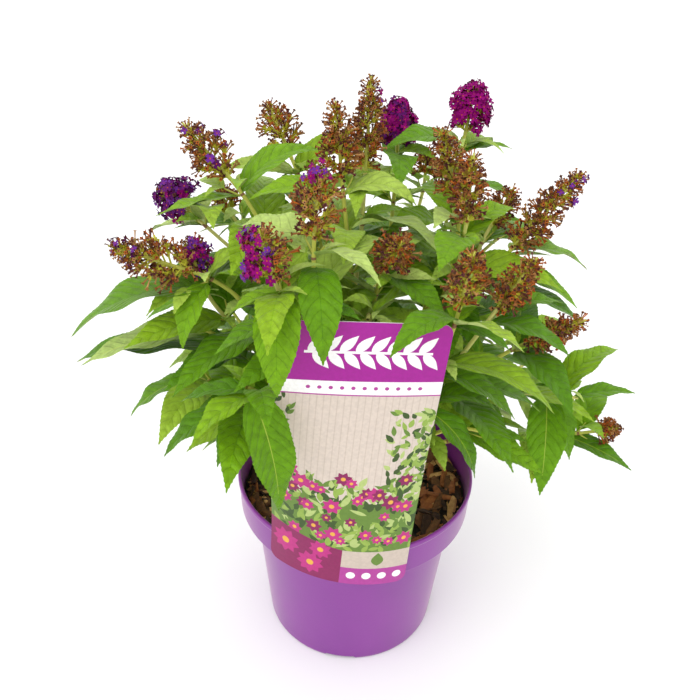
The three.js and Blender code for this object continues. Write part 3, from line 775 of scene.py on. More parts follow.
def outline(s):
    """Half width over the widest, from the foot, 0, to the tip, 1: a round foot and a long taper."""
    swell = np.maximum(np.sin(np.pi * np.clip(s, 0, 1) ** 0.79), 0)
    return swell ** lerp(0.8, 1.2, smoothstep(s, 0.3, 0.7)) * (0.12 + 0.88 * smoothstep(s, 0.0, 0.12))


# Places across the upper and the lower skin, from edge to edge.
BROAD = (np.array([-1, -0.72, -0.38, -0.035, 0.035, 0.38, 0.72, 1]),) * 2
SLIM = (np.array([-1, -0.5, 0, 0.5, 1]), np.array([-1, 0, 1]))
TOOTH = dict(pitch=2.9, size=0.45, ahead=0.7, uneven=0.4, first=(0.08, 0.18))
# The midrib's half widths, its share of the blade's width, its height over the leaf's length, and
# how far up the blade its line runs.
RIB = dict(foot=0.45, tip=0.1, edge=0.1, height=0.006, taper=0.8, seen=0.8)
# The blade's section: least half width by the stalk, in millimetres, how its gutter curves, its swell
# between rib and edge over the half width, and half its thickness over the leaf's length.
SECTION = dict(stalk=0.55, gutter=1.25, swell=0.05, half=0.004)
RIPPLES = 17  # radians of the edge's waves along a leaf


def skin(leaf, wave, places, u, lift, rib, beyond=0.0):
    """Corners of one skin of a leaf, and their places on its map; u runs across it from -1 to 1."""
    half = leaf.length * LEAF["slenderness"] / 2
    point, side, face = leaf.line(places)
    s = places[:, None]
    edge = np.abs(u)[None, :]
    reach = np.maximum(half * outline(s), SECTION["stalk"] * (1 - s)) + beyond
    on_rib = edge < RIB["edge"]
    rib_half = np.minimum(lerp(RIB["foot"], RIB["tip"], s), reach / 2)
    aside = np.where(on_rib, np.sign(u) * rib_half, reach * u)
    ripple = wave * half * np.sin(s * RIPPLES + leaf.foot[0]) * np.sin(np.pi * s)
    rise = LEAF["fold"] * reach * edge ** SECTION["gutter"] + ripple * edge**2 * np.sign(u)
    rise = rise + SECTION["swell"] * reach * np.sin(np.pi * edge)
    rise = rise + lift * leaf.length * SECTION["half"] * (1 - edge**2) * (s < 1)
    rise = rise + rib * on_rib * (1 - RIB["taper"] * s) * leaf.length * RIB["height"]
    corners = point[:, None, :] + side[:, None, :] * aside[..., None] + face[:, None, :] * rise[..., None]
    flat = np.stack([aside, np.broadcast_to(s * leaf.length, aside.shape)], axis=-1) / MAP_UNIT
    return corners.reshape(-1, 3), flat.reshape(-1, 2)


def blade(soup, leaf, top, under, line, columns=BROAD, wave=0.0):
    """A thin closed blade: a toothed edge, a gutter along the midrib, and a raised rib below. The top's
    strip along the gutter takes line's paint; where that is a deeper green than the blade, it is painted
    shade in the gutter.
    """
    rows = max(7, int(leaf.length / TOOTH["pitch"]))
    rungs = np.linspace(0, 1, rows + 1)
    # The lower skin's quads turn the other way and are halved along the same diagonal.
    for u, lift, rib, turn, paint, vein, seen in (
        (columns[0], 1, -0.45, [0, 1, 2, 3], top, line, RIB["seen"]),
        (columns[1], -1, -1.0, [0, 3, 2, 1], under, RIB_BELOW, 1),
    ):
        n = len(u)
        corners, flat = skin(leaf, wave, rungs, u, lift, rib)
        strip = np.tile(np.arange(n - 1), rows)
        on_rib = (strip == (n - 1) // 2) & (np.repeat(rungs[:-1], n - 1) < seen) & (n % 2 == 0)
        soup.add(corners, grid_faces(rows + 1, n)[:, turn], np.where(on_rib, vein, paint), flat)
    add_teeth(soup, leaf, wave, rungs, top)


def add_teeth(soup, leaf, wave, rungs, paint):
    """One forward-pointing tooth on each side between two rungs, smaller at the foot."""
    rows = len(rungs) - 1
    row = np.arange(rows)
    between = rungs[:-1] + TOOTH["ahead"] / rows
    uneven = 1 + TOOTH["uneven"] * np.sin(row * 2.4 + leaf.foot[1])
    teeth = TOOTH["size"] * uneven * smoothstep(between, *TOOTH["first"])
    sides = np.array([-1, 1])
    edge, _ = skin(leaf, wave, rungs, sides, 1, 0)
    tips, _ = skin(leaf, wave, between, sides, 0, 0, teeth[:, None])
    left = np.stack([2 * row, 2 * row + 2, len(edge) + 2 * row], axis=1)
    right = np.stack([2 * row + 1, len(edge) + 2 * row + 1, 2 * row + 3], axis=1)
    soup.add(np.concatenate([edge, tips]), np.concatenate([left, right]), paint)


# Leaves that lie with their pale underside up: mass, and order among its leaves.
TURNED_OVER = {("left_low", 0)}
# Heights of a leaf's foot: between the low and the high piece, up to where every third leaf has a
# pale midrib, and where the greens begin and cease to get paler, as painted light from above.
HEIGHTS = dict(pieces=290, pale_rib=300, paler=(290, 400))
# Shares of the list of greens: the lowest leaves' own, deep as painted shade, how much paler the
# highest are, as painted light, and the play of chance for leaves that the rule grew and for the large
# ones that follow the photo.
TONES = dict(low=0.36, more=0.24, grown=(-0.36, 0.4), placed=(-0.35, -0.12))


def tone_of(leaf, chance):
    """The order of a leaf's green: the paler, the higher it grows, as painted light from above, and deep
    if it follows the photo.
    """
    share = TONES["low"] + TONES["more"] * smoothstep(leaf.foot[2], *HEIGHTS["paler"])
    spread = TONES["placed" if leaf.tangent is None else "grown"]
    return int(np.clip(len(GREENS) * (share + lerp(*spread, chance)), 0, len(GREENS) - 1))


def leaf_soups(growths, room):
    """Large leaves in two pieces, the high ones and the low ones, and the young ones in a third."""
    high, low, young, twigs = Soup(), Soup(), Soup(), Soup()
    for growth in growths:
        random = seeded(growth.seed + 7)
        for order, leaf in enumerate(growth.leaves):
            tone = tone_of(leaf, random())
            under = UNDER + int(random() * len(UNDERS))
            pale_rib = order % 3 == 0 and leaf.foot[2] < HEIGHTS["pale_rib"]
            # Other midribs get the next deeper green along their sunken gutter, as painted shade.
            line = RIB_ABOVE if pale_rib else max(tone - 1, 0)
            if (growth.name, order) in TURNED_OVER:
                tone, under, line = under, tone, RIB_BELOW
            soup = high if leaf.foot[2] > HEIGHTS["pieces"] else low
            blade(soup, leaf, tone, under, line, wave=lerp(0.05, 0.14, random()))
        for wanted in growth.wanted:
            young_shoot(growth, wanted, room, random, young, twigs)
    return high, low, young, twigs


# A young shoot in a leaf's axil: its length, its stem's radii, how far it turns out from the parent's
# shoot, the share with two pairs of leaves, and its leaves' length, forward and sideways sweep, lift,
# droop, roll, how far their feet are sunk, and the room that they keep.
YOUNG_SHOOT = dict(
    reach=(4, 15), radii=(0.8, 0.7, 0.6, 0.45), ahead=0.9, out=(0.5, 0.9), two_pairs=0.55,
    length=(15, 34), second=0.7, forward=(0.7, 1.1), lift=0.15, least_droop=14, sag=(5, 50),
    roll=(-0.4, 0.4), sunk=0.3, gap=0.1,
)


def young_shoot(growth, parent, room, random, young, twigs):
    """A short shoot in the axil of a leaf, with one or two pairs of young leaves."""
    rule = YOUNG_SHOOT
    outward = unit(parent.start - parent.tangent * np.dot(parent.start, parent.tangent))
    axis = unit(parent.tangent * rule["ahead"] + outward * lerp(*rule["out"], random()))
    reach = lerp(*rule["reach"], random())
    pairs = 2 if random() < rule["two_pairs"] else 1
    side = unit(np.cross(axis, outward))
    kept = 0
    for pair in range(pairs):
        base = parent.foot + axis * reach * (pair + 1) / pairs
        across = side if pair == 0 else unit(np.cross(side, axis))
        for way in (1, -1):
            leaf = young_leaf(base, axis, across * way, rule["second"] if pair else 1.0, random)
            tone = FIRST_YOUNG + int(random() * len(YOUNG))
            if stays_inside(leaf) and not room.meets(growth.node, *leaf.forms(rule["gap"])):
                room.take(growth.node, *leaf.forms())
                blade(young, leaf, tone, UNDER, tone, SLIM)
                kept += 1
    if kept:
        twigs.add(*rod(parent.foot, axis, np.linspace(0, reach, 4), side, rule["radii"], 6), 0)


def young_leaf(base, axis, across, share, random):
    rule = YOUNG_SHOOT
    length = lerp(*rule["length"], random()) * share
    heading = unit(axis * lerp(*rule["forward"], random()) + across + UP * rule["lift"])
    droop = max(rule["least_droop"], math.degrees(math.asin(heading[2])) + lerp(*rule["sag"], random()))
    return Leaf(base - axis * rule["sunk"], heading, droop, length, lerp(*rule["roll"], random()))


def stays_inside(leaf):
    """True if a leaf's tip is above the lowest height for one and in the part's box."""
    tip = leaf.tip()
    low, high = np.array(CAD_BOX) / MM
    return tip[2] >= LEAF["lowest"] and (tip >= low).all() and (tip <= high).all()


# ---- Stems ----


# A shoot's stem: sides, way between rings, radius over the part's, swelling at a pair of leaves, half
# the swelling's length, how swollen it is where it is brown, and how square it is.
SHOOT = dict(sides=8, step=1.6, stout=1.08, swell=0.3, joint=1.5, brown=0.15, square=0.07)


def stems(growths, twigs):
    """The shoots' own stems, a little swollen and brown where pairs of leaves stand."""
    sides = SHOOT["sides"]
    for growth in growths:
        for order, (path, start, radius_at, _, _) in enumerate(growth.shoots):
            t = np.linspace(start, 1, int(path.length * (1 - start) / SHOOT["step"]))
            away = [(t - joint) * path.length / SHOOT["joint"] for joint in growth.joints[order]]
            swell = sum(SHOOT["swell"] * np.exp(-(way**2)) for way in away)
            radii = np.array([radius_at(x) for x in t]) * (SHOOT["stout"] + swell)
            corners, faces = tube(path.at(t), path.tangent(t), path.side, radii, sides, SHOOT["square"])
            paints = np.where(swell[:-1] > SHOOT["brown"], JOINT, order % 2)
            twigs.add(corners, faces, np.repeat(paints, sides))


TRUNK = dict(
    rows=70, sides=72,
    waist=(0.6, 8.0),  # share of the height, and the radius there
    edge=3, edge_taper=0.4,  # the top's rounded edge: its height, and how much narrower its top is
    lobes=3, lobe_size=0.12,  # of the root flare
    ridge=0.55,  # the bark's relief
    crown=0.4,  # how far the top bulges
)


def trunk_radii(z):
    """The main stem's radius at these heights: a flare, a slow taper and a rounded top edge."""
    foot, base, height = STEM["flare"], STEM["base"], STEM["height"]
    waist, waist_radius = TRUNK["waist"]
    edge = height - TRUNK["edge"]
    heights = [-GAP, STEM["flare_height"] * 0.35, STEM["flare_height"], height * waist, edge]
    radii = np.interp(z, heights, [foot, lerp(foot, base, 0.6), base, waist_radius, STEM["top"]])
    return radii * np.where(z > edge, 1 - TRUNK["edge_taper"] * (z - edge) / TRUNK["edge"], 1)


def ridge_depth(angle, height):
    """How deep the ridged bark is cut at this place."""
    where = Vector((math.cos(angle) * 2.6, math.sin(angle) * 2.6, height * 0.07))
    ridge = noise.turbulence(where, 3, False) * 0.8 + 0.25 * math.sin(angle * 13 + height * 0.12)
    return TRUNK["ridge"] * abs(ridge)


def add_trunk(soup):
    rows, sides = TRUNK["rows"], TRUNK["sides"]
    z = np.linspace(-GAP, STEM["height"], rows)
    angle = ring_angles(sides)
    lobed = TRUNK["lobe_size"] * np.cos(TRUNK["lobes"] * angle)[None, :]
    flare = 1 + lobed * (1 - smoothstep(z, 0, STEM["flare_height"]))[:, None]
    cut = np.array([[ridge_depth(a, height) for a in angle] for height in z])
    reach = trunk_radii(z)[:, None] * flare - cut
    points = np.stack(
        [reach * np.cos(angle), reach * np.sin(angle), np.broadcast_to(z[:, None], reach.shape)], axis=-1
    )
    points[..., 0] += STEM["lean"] * z[:, None] / STEM["height"]
    points[..., 2] += BARK_LEVEL + GAP
    top = np.array([[STEM["lean"], 0, BARK_LEVEL + GAP + STEM["height"] + TRUNK["crown"]]])
    soup.add(points.reshape(-1, 3), grid_faces(rows, sides, closed=True), 0)
    soup.add(np.concatenate([points[-1], top]), fan(sides, sides), 0)


BOUGH = dict(rings=40, sides=14, stout=1.05, square=0.04)
# The boughs' relief: cells a millimetre, and height.
BOUGH_RELIEF = ((0.9, 0.1), (0.22, 0.12))


def add_bough(soup, growth):
    path, sides = growth.main, BOUGH["sides"]
    t = np.linspace(0, LIMB["share"] + GAP / path.length, BOUGH["rings"])
    radii = [Growth.main_radius(x) * BOUGH["stout"] for x in t]
    corners, faces = tube(path.at(t), path.tangent(t), path.side, radii, sides, BOUGH["square"])
    centres = np.repeat(path.at(t), sides, axis=0)
    for k, (corner, centre) in enumerate(zip(corners, centres)):
        rough = sum(noise.noise(Vector(corner * cells)) * height for cells, height in BOUGH_RELIEF)
        corners[k] = corner + unit(corner - centre) * rough
    soup.add(corners, faces, 1)


def trunk_and_boughs(growths):
    """The main stem with its root flare, and the limbs, with ridged bark."""
    soup = Soup()
    add_trunk(soup)
    for growth in growths:
        add_bough(soup, growth)
    return soup


# ---- Flower spikes ----


FLORET = dict(calyx=3.3, calyx_radius=0.72, tube=7.6, tube_radius=0.3, mouth=0.5, hollow=0.9)
# One lobe of four: how far it reaches, its corners and the notch after it, as (degrees round the
# mouth, share of the reach), and how steeply it may rise.
LOBE = {
    "spent": dict(reach=1.5, corners=((0, 1), (45, 0.6)), rises=(-0.6, 0.2, 1.0)),
    "fresh": dict(reach=2.8, corners=((-24, 1), (24, 1), (45, 0.42)), rises=(-0.15, 0.1, 0.3)),
}
BARE = "bare"
TUBE, LOBES, CUP, THROAT = 0, 1, 2, 3


def add_star(soup, lobe, rise):
    """Four lobes round the tube's mouth, and the hollow in it, which a spent floret paints dark as the
    shade inside its tube.
    """
    length = FLORET["tube"]
    turn = np.radians([quarter * 90 + angle for quarter in range(4) for angle, _ in lobe["corners"]])
    reach = lobe["reach"] * np.array([share for _, share in lobe["corners"]] * 4)[:, None]
    circle = np.stack([np.cos(turn), np.sin(turn), 0 * turn], axis=1)
    ring = circle * FLORET["mouth"] + UP * length
    rim = circle * reach + UP * (length + rise * reach)
    corners = len(ring)
    soup.add(np.concatenate([ring, rim]), grid_faces(2, corners, closed=True), LOBES)
    soup.add(np.array([*ring, UP * (length - FLORET["hollow"])]), fan(corners, corners), THROAT)


def floret(kind, rise):
    """A calyx and, unless it is bare, a slim tube with a star: its mesh, and each triangle's role."""
    soup = Soup()
    side, calyx, wide = np.array([1.0, 0, 0]), FLORET["calyx"], FLORET["calyx_radius"]
    soup.add(*rod(0, UP, (-0.8, calyx), side, (wide / 2, wide), 5), CUP)
    if kind != BARE:
        radii = FLORET["tube_radius"], FLORET["mouth"]
        soup.add(*rod(0, UP, (calyx - 0.4, FLORET["tube"]), side, radii, 5), TUBE)
        add_star(soup, LOBE[kind], rise)
    return soup.joined()[:3]


FLORETS = {kind: [floret(kind, rise) for rise in lobe["rises"]] for kind, lobe in LOBE.items()}
FLORETS[BARE] = [floret(BARE, 0)]
SPENT_SHADES = ("rust", "rust", "tan", "umber", "ember", "mauve")
# Spikes in full flower, by mass and shoot, with their shades.
FRESH = {
    ("back_high", 0): ("magenta", "magenta", "plum"),
    ("back_right_high", 0): ("magenta",),
    ("left_high", 1): ("plum", "plum", "violet", "magenta"),
}
# Spent spikes with a few open florets: the azimuth they face, the least share of the spike's length
# from its foot, how many of the florets that face that way, and their shades.
LATE = {
    ("front", 1): (-170, 0.0, 0.75, ("magenta", "magenta", "violet")),
    ("front", 0): (-90, 0.72, 0.4, ("magenta", "violet")),
    ("left", 0): (-180, 0.6, 0.2, ("violet", "plum")),
    ("left", 1): (-60, 0.0, 0.5, ("violet", "magenta")),
    ("left_high", 0): (-40, 0.25, 0.12, ("plum", "violet")),
    ("right", 0): (-60, 0.45, 0.12, ("violet",)),
    ("top", 1): (20, 0.6, 0.12, ("violet", "magenta")),
}


def basis(direction, spin):
    """Rows of axes with the last along direction, spun round it."""
    guide = UP if abs(direction[2]) < 0.9 else np.array([1.0, 0, 0])
    x = unit(np.cross(guide, direction))
    y = np.cross(direction, x)
    c, s = math.cos(spin), math.sin(spin)
    return np.array([x * c + y * s, y * c - x * s, direction])


PANICLE = dict(
    node_spacing=4.0,  # between the opposite pairs of branchlets on the axis
    bare_tip=(3, 6),  # how far short of the solid's tip the axis and the last branchlets end
    twist=0.45,  # radians from one pair to the next, beyond a quarter turn
    stray=0.5,
    axis_radius=(1.5, 0.6),
    stalk_radius=(0.7, 0.55),
    stalk_share=(0.62, 1.12),
    spread=1.26,  # how far florets reach beyond the part's solid
    ascent=0.7,  # how much a branchlet leans along the axis
    cone=0.9,  # how far florets fan out round their branchlet
    florets=(7, 9),  # on a branchlet at the spike's tip, and how many more where it is widest
    size=(0.88, 1.3),
    tip_size=0.7,  # at the spike's tip over that at its foot
    bare=0.3,  # share of spent florets that have dropped all but the calyx
    rusty=0.16,  # share of calyxes that have browned
)


def panicle(growth, order, path, spike, twigs, blossom):
    """A flower spike: opposite branchlets on its axis, each with tufts of florets."""
    length, radius = spike
    random = seeded(growth.seed + 500 + 37 * order)
    axis = path.tangent(1)
    other = np.cross(path.side, axis)
    base = path.at(1) - SPIKE["sunk"] * axis
    tuft = Tuft(growth.name, order, random)
    nodes = max(6, int(length / PANICLE["node_spacing"]))
    places = np.linspace(0, length - PANICLE["bare_tip"][0], nodes + 1)
    radii = lerp(*PANICLE["axis_radius"], places / length)
    twigs.add(*rod(base, axis, places, path.side, radii, 6), 0)
    for k in range(nodes):
        share = (k + 0.5) / nodes
        reach = spike_reach(radius, share) * PANICLE["spread"]
        root = base + axis * (length - PANICLE["bare_tip"][1]) * share
        for way in (0, 1):
            stray = lerp(-PANICLE["stray"], PANICLE["stray"], random())
            around = math.pi * (way + 0.5 * k) + PANICLE["twist"] * k + stray
            out = path.side * math.cos(around) + other * math.sin(around)
            arm = unit(out + axis * PANICLE["ascent"])
            stalk = max(1.0, reach - FLORET["tube"]) * lerp(*PANICLE["stalk_share"], random())
            arm_side = unit(np.cross(arm, axis))
            twigs.add(*rod(root, arm, (0, stalk), arm_side, PANICLE["stalk_radius"], 4), BRANCHLET)
            count = int(PANICLE["florets"][0] + PANICLE["florets"][1] * reach / radius + random())
            tuft.grow(root, root + arm * stalk, arm, count, share)
    tuft.plant(blossom)


class Tuft:
    """The florets of one spike, gathered by their kind and then stamped together."""

    def __init__(self, name, order, random):
        self.random = random
        self.fresh = FRESH.get((name, order))
        way, self.low, self.amount, self.shades = LATE.get((name, order), (0, 2, 0, ()))
        self.late = along(way, 1, 0)
        self.batches = {}

    def grow(self, root, hub, arm, count, share):
        """Florets on a branchlet's outer part, which fan out round it."""
        random = self.random
        aside = unit(np.cross(arm, UP) + 1e-6)
        above = np.cross(aside, arm)
        for k in range(count):
            turn = (k * 0.382 + 0.1 * random()) * 2 * math.pi
            fan = PANICLE["cone"] * math.sqrt((k + 0.3 + 0.5 * random()) / count)
            swing = aside * math.cos(turn) + above * math.sin(turn)
            heading = arm * math.cos(fan) + swing * math.sin(fan)
            foot = lerp(root, hub, lerp(1.0, 0.35, random()))
            kind = BARE if random() < PANICLE["bare"] else "spent"
            pick = SPENT_SHADES
            if self.opened(share, heading):
                kind, pick = "fresh", self.fresh or self.shades
            first = SHADE[pick[int(random() * len(pick))]]
            calyx = CALYX + int(random() < PANICLE["rusty"])
            size = lerp(*PANICLE["size"], random()) * lerp(1, PANICLE["tip_size"], share * share)
            variant = int(random() * len(FLORETS[kind]))
            placed = (foot, basis(heading, random() * 6.3) * size, first, calyx)
            self.batches.setdefault((kind, variant), []).append(placed)

    def opened(self, share, heading):
        if self.fresh:
            return self.random() < 0.95
        return share >= self.low and heading @ self.late > 0.3 and self.random() < self.amount

    def plant(self, soup):
        for (kind, variant), florets in self.batches.items():
            points, faces, roles = FLORETS[kind][variant]
            origins, frames, firsts, calyxes = (np.array(column) for column in zip(*florets))
            paints = np.where(roles == CUP, calyxes[:, None], roles + firsts[:, None])
            # A fresh floret's hollow shows its orange eye; a spent one's is painted dark as the shade in
            # its tube.
            paints[:, roles == THROAT] = EYE if kind == "fresh" else THROAT_SHADE
            soup.stamp((points, faces), origins, frames, paints)


# ---- The pot, the mulch and the card ----

POT = dict(
    height=151, rim=95, rim_width=2.4, collar=93.4, collar_bottom=121, shoulder=82, foot=71.5,
    wall=1.8, floor=5, channels=4, channel_start=34, channel_width=26, channel_depth=3.2,
    channel_turn=-96, drain=5, rounding=2.4, sides=160,
)


def rounded(corners, radius, steps=4):
    """A profile with its inner corners rounded."""
    out = [np.array(corners[0], float)]
    for before, here, after in zip(corners, corners[1:], corners[2:]):
        before, here, after = (np.array(p, float) for p in (before, here, after))
        cut = min(radius, np.linalg.norm(before - here) / 2.2, np.linalg.norm(after - here) / 2.2)
        a, b = here + unit(before - here) * cut, here + unit(after - here) * cut
        for t in np.linspace(0, 1, steps):
            out.append((1 - t) ** 2 * a + 2 * t * (1 - t) * here + t * t * b)
    return np.array(out + [np.array(corners[-1], float)])


def turned(name, profile, sides):
    """A solid of revolution from a profile that starts and ends on the axis."""
    angle = ring_angles(sides)
    rings = profile[1:-1]
    points = [(r * math.cos(a), r * math.sin(a), z) for r, z in rings for a in angle]
    points += [(0, 0, profile[0][1]), (0, 0, profile[-1][1])]
    foot, top = len(points) - 2, len(points) - 1
    faces = grid_faces(len(rings), sides, closed=True).tolist()
    faces += fan(foot, sides, back=True).tolist() + fan(top, sides, foot - sides).tolist()
    mesh = bpy.data.meshes.new(name)
    mesh.from_pydata((np.array(points) * MM).tolist(), [], faces)
    return linked(name, mesh)


def cut_away(obj, cutters):
    """Takes the cutters out of obj, whose mesh is then plain again."""
    group = bpy.data.collections.new("cutters")
    for cutter in cutters:
        group.objects.link(cutter)
    cut = obj.modifiers.new("cut", "BOOLEAN")
    cut.operand_type, cut.collection, cut.solver = "COLLECTION", group, "EXACT"
    mesh = bpy.data.meshes.new_from_object(obj.evaluated_get(bpy.context.evaluated_depsgraph_get()))
    obj.modifiers.clear()
    obj.data = mesh
    for cutter in cutters:
        bpy.data.objects.remove(cutter)
    bpy.data.collections.remove(group)


def channel(bm):
    """A channel's cutter about the origin; gives how far out from its start its middle goes."""
    length, width, height = POT["foot"], POT["channel_width"], 2 * POT["channel_depth"]
    bmesh.ops.create_cube(bm, size=1, matrix=Matrix.Diagonal((length, width, height, 1)))
    bmesh.ops.bevel(bm, geom=bm.edges[:], offset=1.2, segments=2, affect="EDGES")
    return length / 2


def drain(bm):
    """A drain hole's cutter about the origin; gives how far out from the channel's start it goes."""
    radius = POT["drain"]
    bmesh.ops.create_cone(bm, cap_ends=True, segments=24, radius1=radius, radius2=radius, depth=20)
    return radius * 2.5


def cutter(shape, turn):
    """A channel or a drain, at its place in the pot's foot in the direction of turn."""
    bm = bmesh.new()
    out = POT["channel_start"] + shape(bm)
    bmesh.ops.translate(bm, verts=bm.verts, vec=(out, 0, 0))
    bmesh.ops.rotate(bm, verts=bm.verts, matrix=Matrix.Rotation(turn, 3, "Z"))
    bmesh.ops.scale(bm, verts=bm.verts, vec=(MM, MM, MM))
    mesh = bpy.data.meshes.new("cutter")
    bm.to_mesh(mesh)
    bm.free()
    return linked("cutter", mesh)


def pot_profile():
    """Half the pot's section, from the middle of its foot round the rim to the middle of its floor."""
    p = POT
    top, ledge, inside_ledge = p["height"], p["collar_bottom"] - 4, p["collar_bottom"] - 2
    channels_top = 2 * p["channel_depth"]
    return [
        (0, 0), (p["foot"], 0),
        (lerp(p["foot"], p["shoulder"], channels_top / ledge), channels_top), (p["shoulder"], ledge),
        (p["collar"] - 1.2, p["collar_bottom"]), (p["collar"], p["collar_bottom"] + 1.2),
        (p["rim"] - 0.5, top - 4.5), (p["rim"] + 0.25, top - 3.4), (p["rim"], top),
        (p["rim"] - p["rim_width"], top), (p["collar"] - p["wall"], p["collar_bottom"] + 3),
        (p["shoulder"] - p["wall"], inside_ledge), (p["foot"] - p["wall"], p["floor"]), (0, p["floor"]),
    ]


def make_pot():
    pot = turned("pot_body", rounded(pot_profile(), POT["rounding"]), POT["sides"])
    count = POT["channels"]
    turns = [math.radians(POT["channel_turn"] + k * 360 / count) for k in range(count)]
    cut_away(pot, [cutter(shape, turn) for turn in turns for shape in (channel, drain)])
    pot.data.materials.clear()
    pot.data.materials.append(pot_material())
    pot.data.shade_smooth()
    pot.data.set_sharp_from_angle(angle=math.radians(40))
    return pot


def pot_material():
    """Satin moulded plastic: faint flow marks, a fine grain and a pale bloom where it turns away."""
    bloom = dict(Sheen_Weight=0.45, Sheen_Roughness=0.3, Sheen_Tint=(1.0, 0.9, 0.86, 1.0))
    paint = Paint("pot_plastic", linear(129, 41, 143), 0.4, **bloom)
    flow = paint.noise(18, 3)
    paint.blend(flow, linear(124, 37, 139), linear(134, 45, 147))
    paint.link(paint.maths("MULTIPLY_ADD", flow, 0.12, 0.34), paint.inputs["Roughness"])
    paint.bump(paint.noise(900, 2), 0.06)
    return paint.material


MULCH = dict(
    # Kinds of piece: how many, their least and greatest length, and how high they may lie.
    kinds=((480, 9, 26, 0.9), (900, 2.5, 7, 0.6)),
    shapes=16, seed=41, rings=34, sides=120,
    compost=-3.2, skirt=-7.0, lowest=-2.6, highest=2.6,  # heights over the bark's level
    tilt=(-0.35, 0.35), roll=(-0.6, 0.6),
)
MULCH_EDGE = POT["collar"] + 0.4 - POT["rim_width"] - 1.0


def chip(seed, rings=5, sides=8):
    """A broken flake of bark, one unit long: ridges along its grain, a bow, and ragged ends."""
    random = seeded(seed)
    wide, thick, bow = lerp(0.14, 0.3, random()), lerp(0.05, 0.11, random()), lerp(-0.25, 0.25, random())
    angle = ring_angles(sides)
    ridge = np.array([lerp(0.7, 1.1, random()) for _ in angle])
    points = []
    for ring in range(rings):
        at = ring / (rings - 1) - 0.5
        rough = np.array([lerp(0.85, 1.1, random()) for _ in angle])
        ragged = np.array([lerp(-0.07, 0.07, random()) for _ in angle]) * (abs(at) == 0.5)
        reach = ridge * rough * (1 - 0.9 * abs(at) ** 1.5)
        height = thick * np.sin(angle) * reach + bow * at * at
        points.append(np.stack([at + ragged, wide * np.cos(angle) * reach, height], axis=1))
    middles = [points[0].mean(axis=0), points[-1].mean(axis=0)]
    final = (rings - 1) * sides
    caps = [fan(rings * sides, sides, back=True), fan(rings * sides + 1, sides, final)]
    faces = np.concatenate([halved(grid_faces(rings, sides, closed=True)), *caps])
    return np.concatenate([*points, middles]), faces


def compost():
    """The lumpy top of the compost, with a skirt that goes down inside the pot."""
    radii = np.concatenate([[0.5], np.linspace(4, MULCH_EDGE, MULCH["rings"])])
    points = []
    for r in radii:
        for a in ring_angles(MULCH["sides"]):
            x, y = r * math.cos(a), r * math.sin(a)
            lump = noise.noise(Vector((x, y, 0)) * 0.12) * 2.0
            lump += noise.noise(Vector((x, y, 9)) * 0.4) * 0.9
            rise = lump * (1 - (r / MULCH_EDGE) ** 8)
            points.append((x, y, BARK_LEVEL + MULCH["compost"] + rise))
    points += [(x, y, BARK_LEVEL + MULCH["skirt"]) for x, y, _ in points[-MULCH["sides"]:]]
    return np.array(points), grid_faces(len(radii) + 1, MULCH["sides"], closed=True)[:, ::-1]


def chip_spot(random, least, most):
    """A piece's distance, azimuth, length and spin; it stays inside the pot and off the stem."""
    r = MULCH_EDGE * math.sqrt(random()) * 0.985
    a = random() * 2 * math.pi
    length = lerp(least, most, random() ** 1.8)
    spin = random() * 2 * math.pi
    if r + length * 0.5 * abs(math.cos(spin - a)) > MULCH_EDGE - 0.5:
        spin = a + math.pi / 2 + lerp(-0.3, 0.3, random())
        r = min(r, MULCH_EDGE - 1.5 - 0.3 * length)
    if r < STEM["flare"] + 0.3 * length:
        r = STEM["flare"] + 0.4 * length
    return r, a, length, spin


def make_mulch():
    """Dark compost with bark chips lying every way on it; the compost's near black is its own dark
    colour and painted shade in the gaps between the chips.
    """
    random = seeded(MULCH["seed"])
    soup = Soup()
    soup.add(*compost(), 0)
    templates = [chip(k) for k in range(MULCH["shapes"])]
    for least, most, rise in [kind for count, *kind in MULCH["kinds"] for _ in range(count)]:
        r, a, length, spin = chip_spot(random, least, most)
        tilt, roll = lerp(*MULCH["tilt"], random()), lerp(*MULCH["roll"], random())
        tipped = Matrix.Rotation(spin, 3, "Z") @ Matrix.Rotation(tilt, 3, "Y")
        turn = tipped @ Matrix.Rotation(roll, 3, "X")
        height = MULCH["lowest"] + rise * lerp(0, 2.4, random()) + 0.06 * length
        place = along(math.degrees(a), r, BARK_LEVEL + min(height, MULCH["highest"]))
        points, faces = templates[int(random() * len(templates))]
        tone = 1 + int(random() ** 1.3 * 4)
        soup.add(points @ (np.array(turn.transposed()) * length) + place, faces, tone)
    return soup


def mulch_materials():
    browns = {
        # The compost is near black: its own dark colour, darkened further as painted shade between chips.
        "compost": ((10, 7, 4), (24, 16, 10), 0.8),
        "chip_dark": ((38, 23, 13), (74, 46, 26), 0.5),
        "chip_brown": ((78, 47, 25), (128, 84, 45), 0.5),
        "chip_rust": ((122, 66, 33), (172, 104, 56), 0.5),
        "chip_tan": ((166, 122, 76), (214, 168, 110), 0.5),
    }
    return [
        mottled(name, dark, light, 0.85, 260, relief, (0.3, 0.72))
        for name, (dark, light, relief) in browns.items()
    ]


CARD = dict(
    width=108, height=225.5, bottom=120.5, thickness=0.9, clearance=0.3, flat_from=0.15,
    lean=0.6, turn=-98.6, twist=15, skew=3.8, corner=7, sheet=0.6,
)
HALF, TOP = CARD["width"] / 2, CARD["height"]
HEADER, STRIP = TOP * 0.81, TOP * 0.765  # the lower edges of the two bands


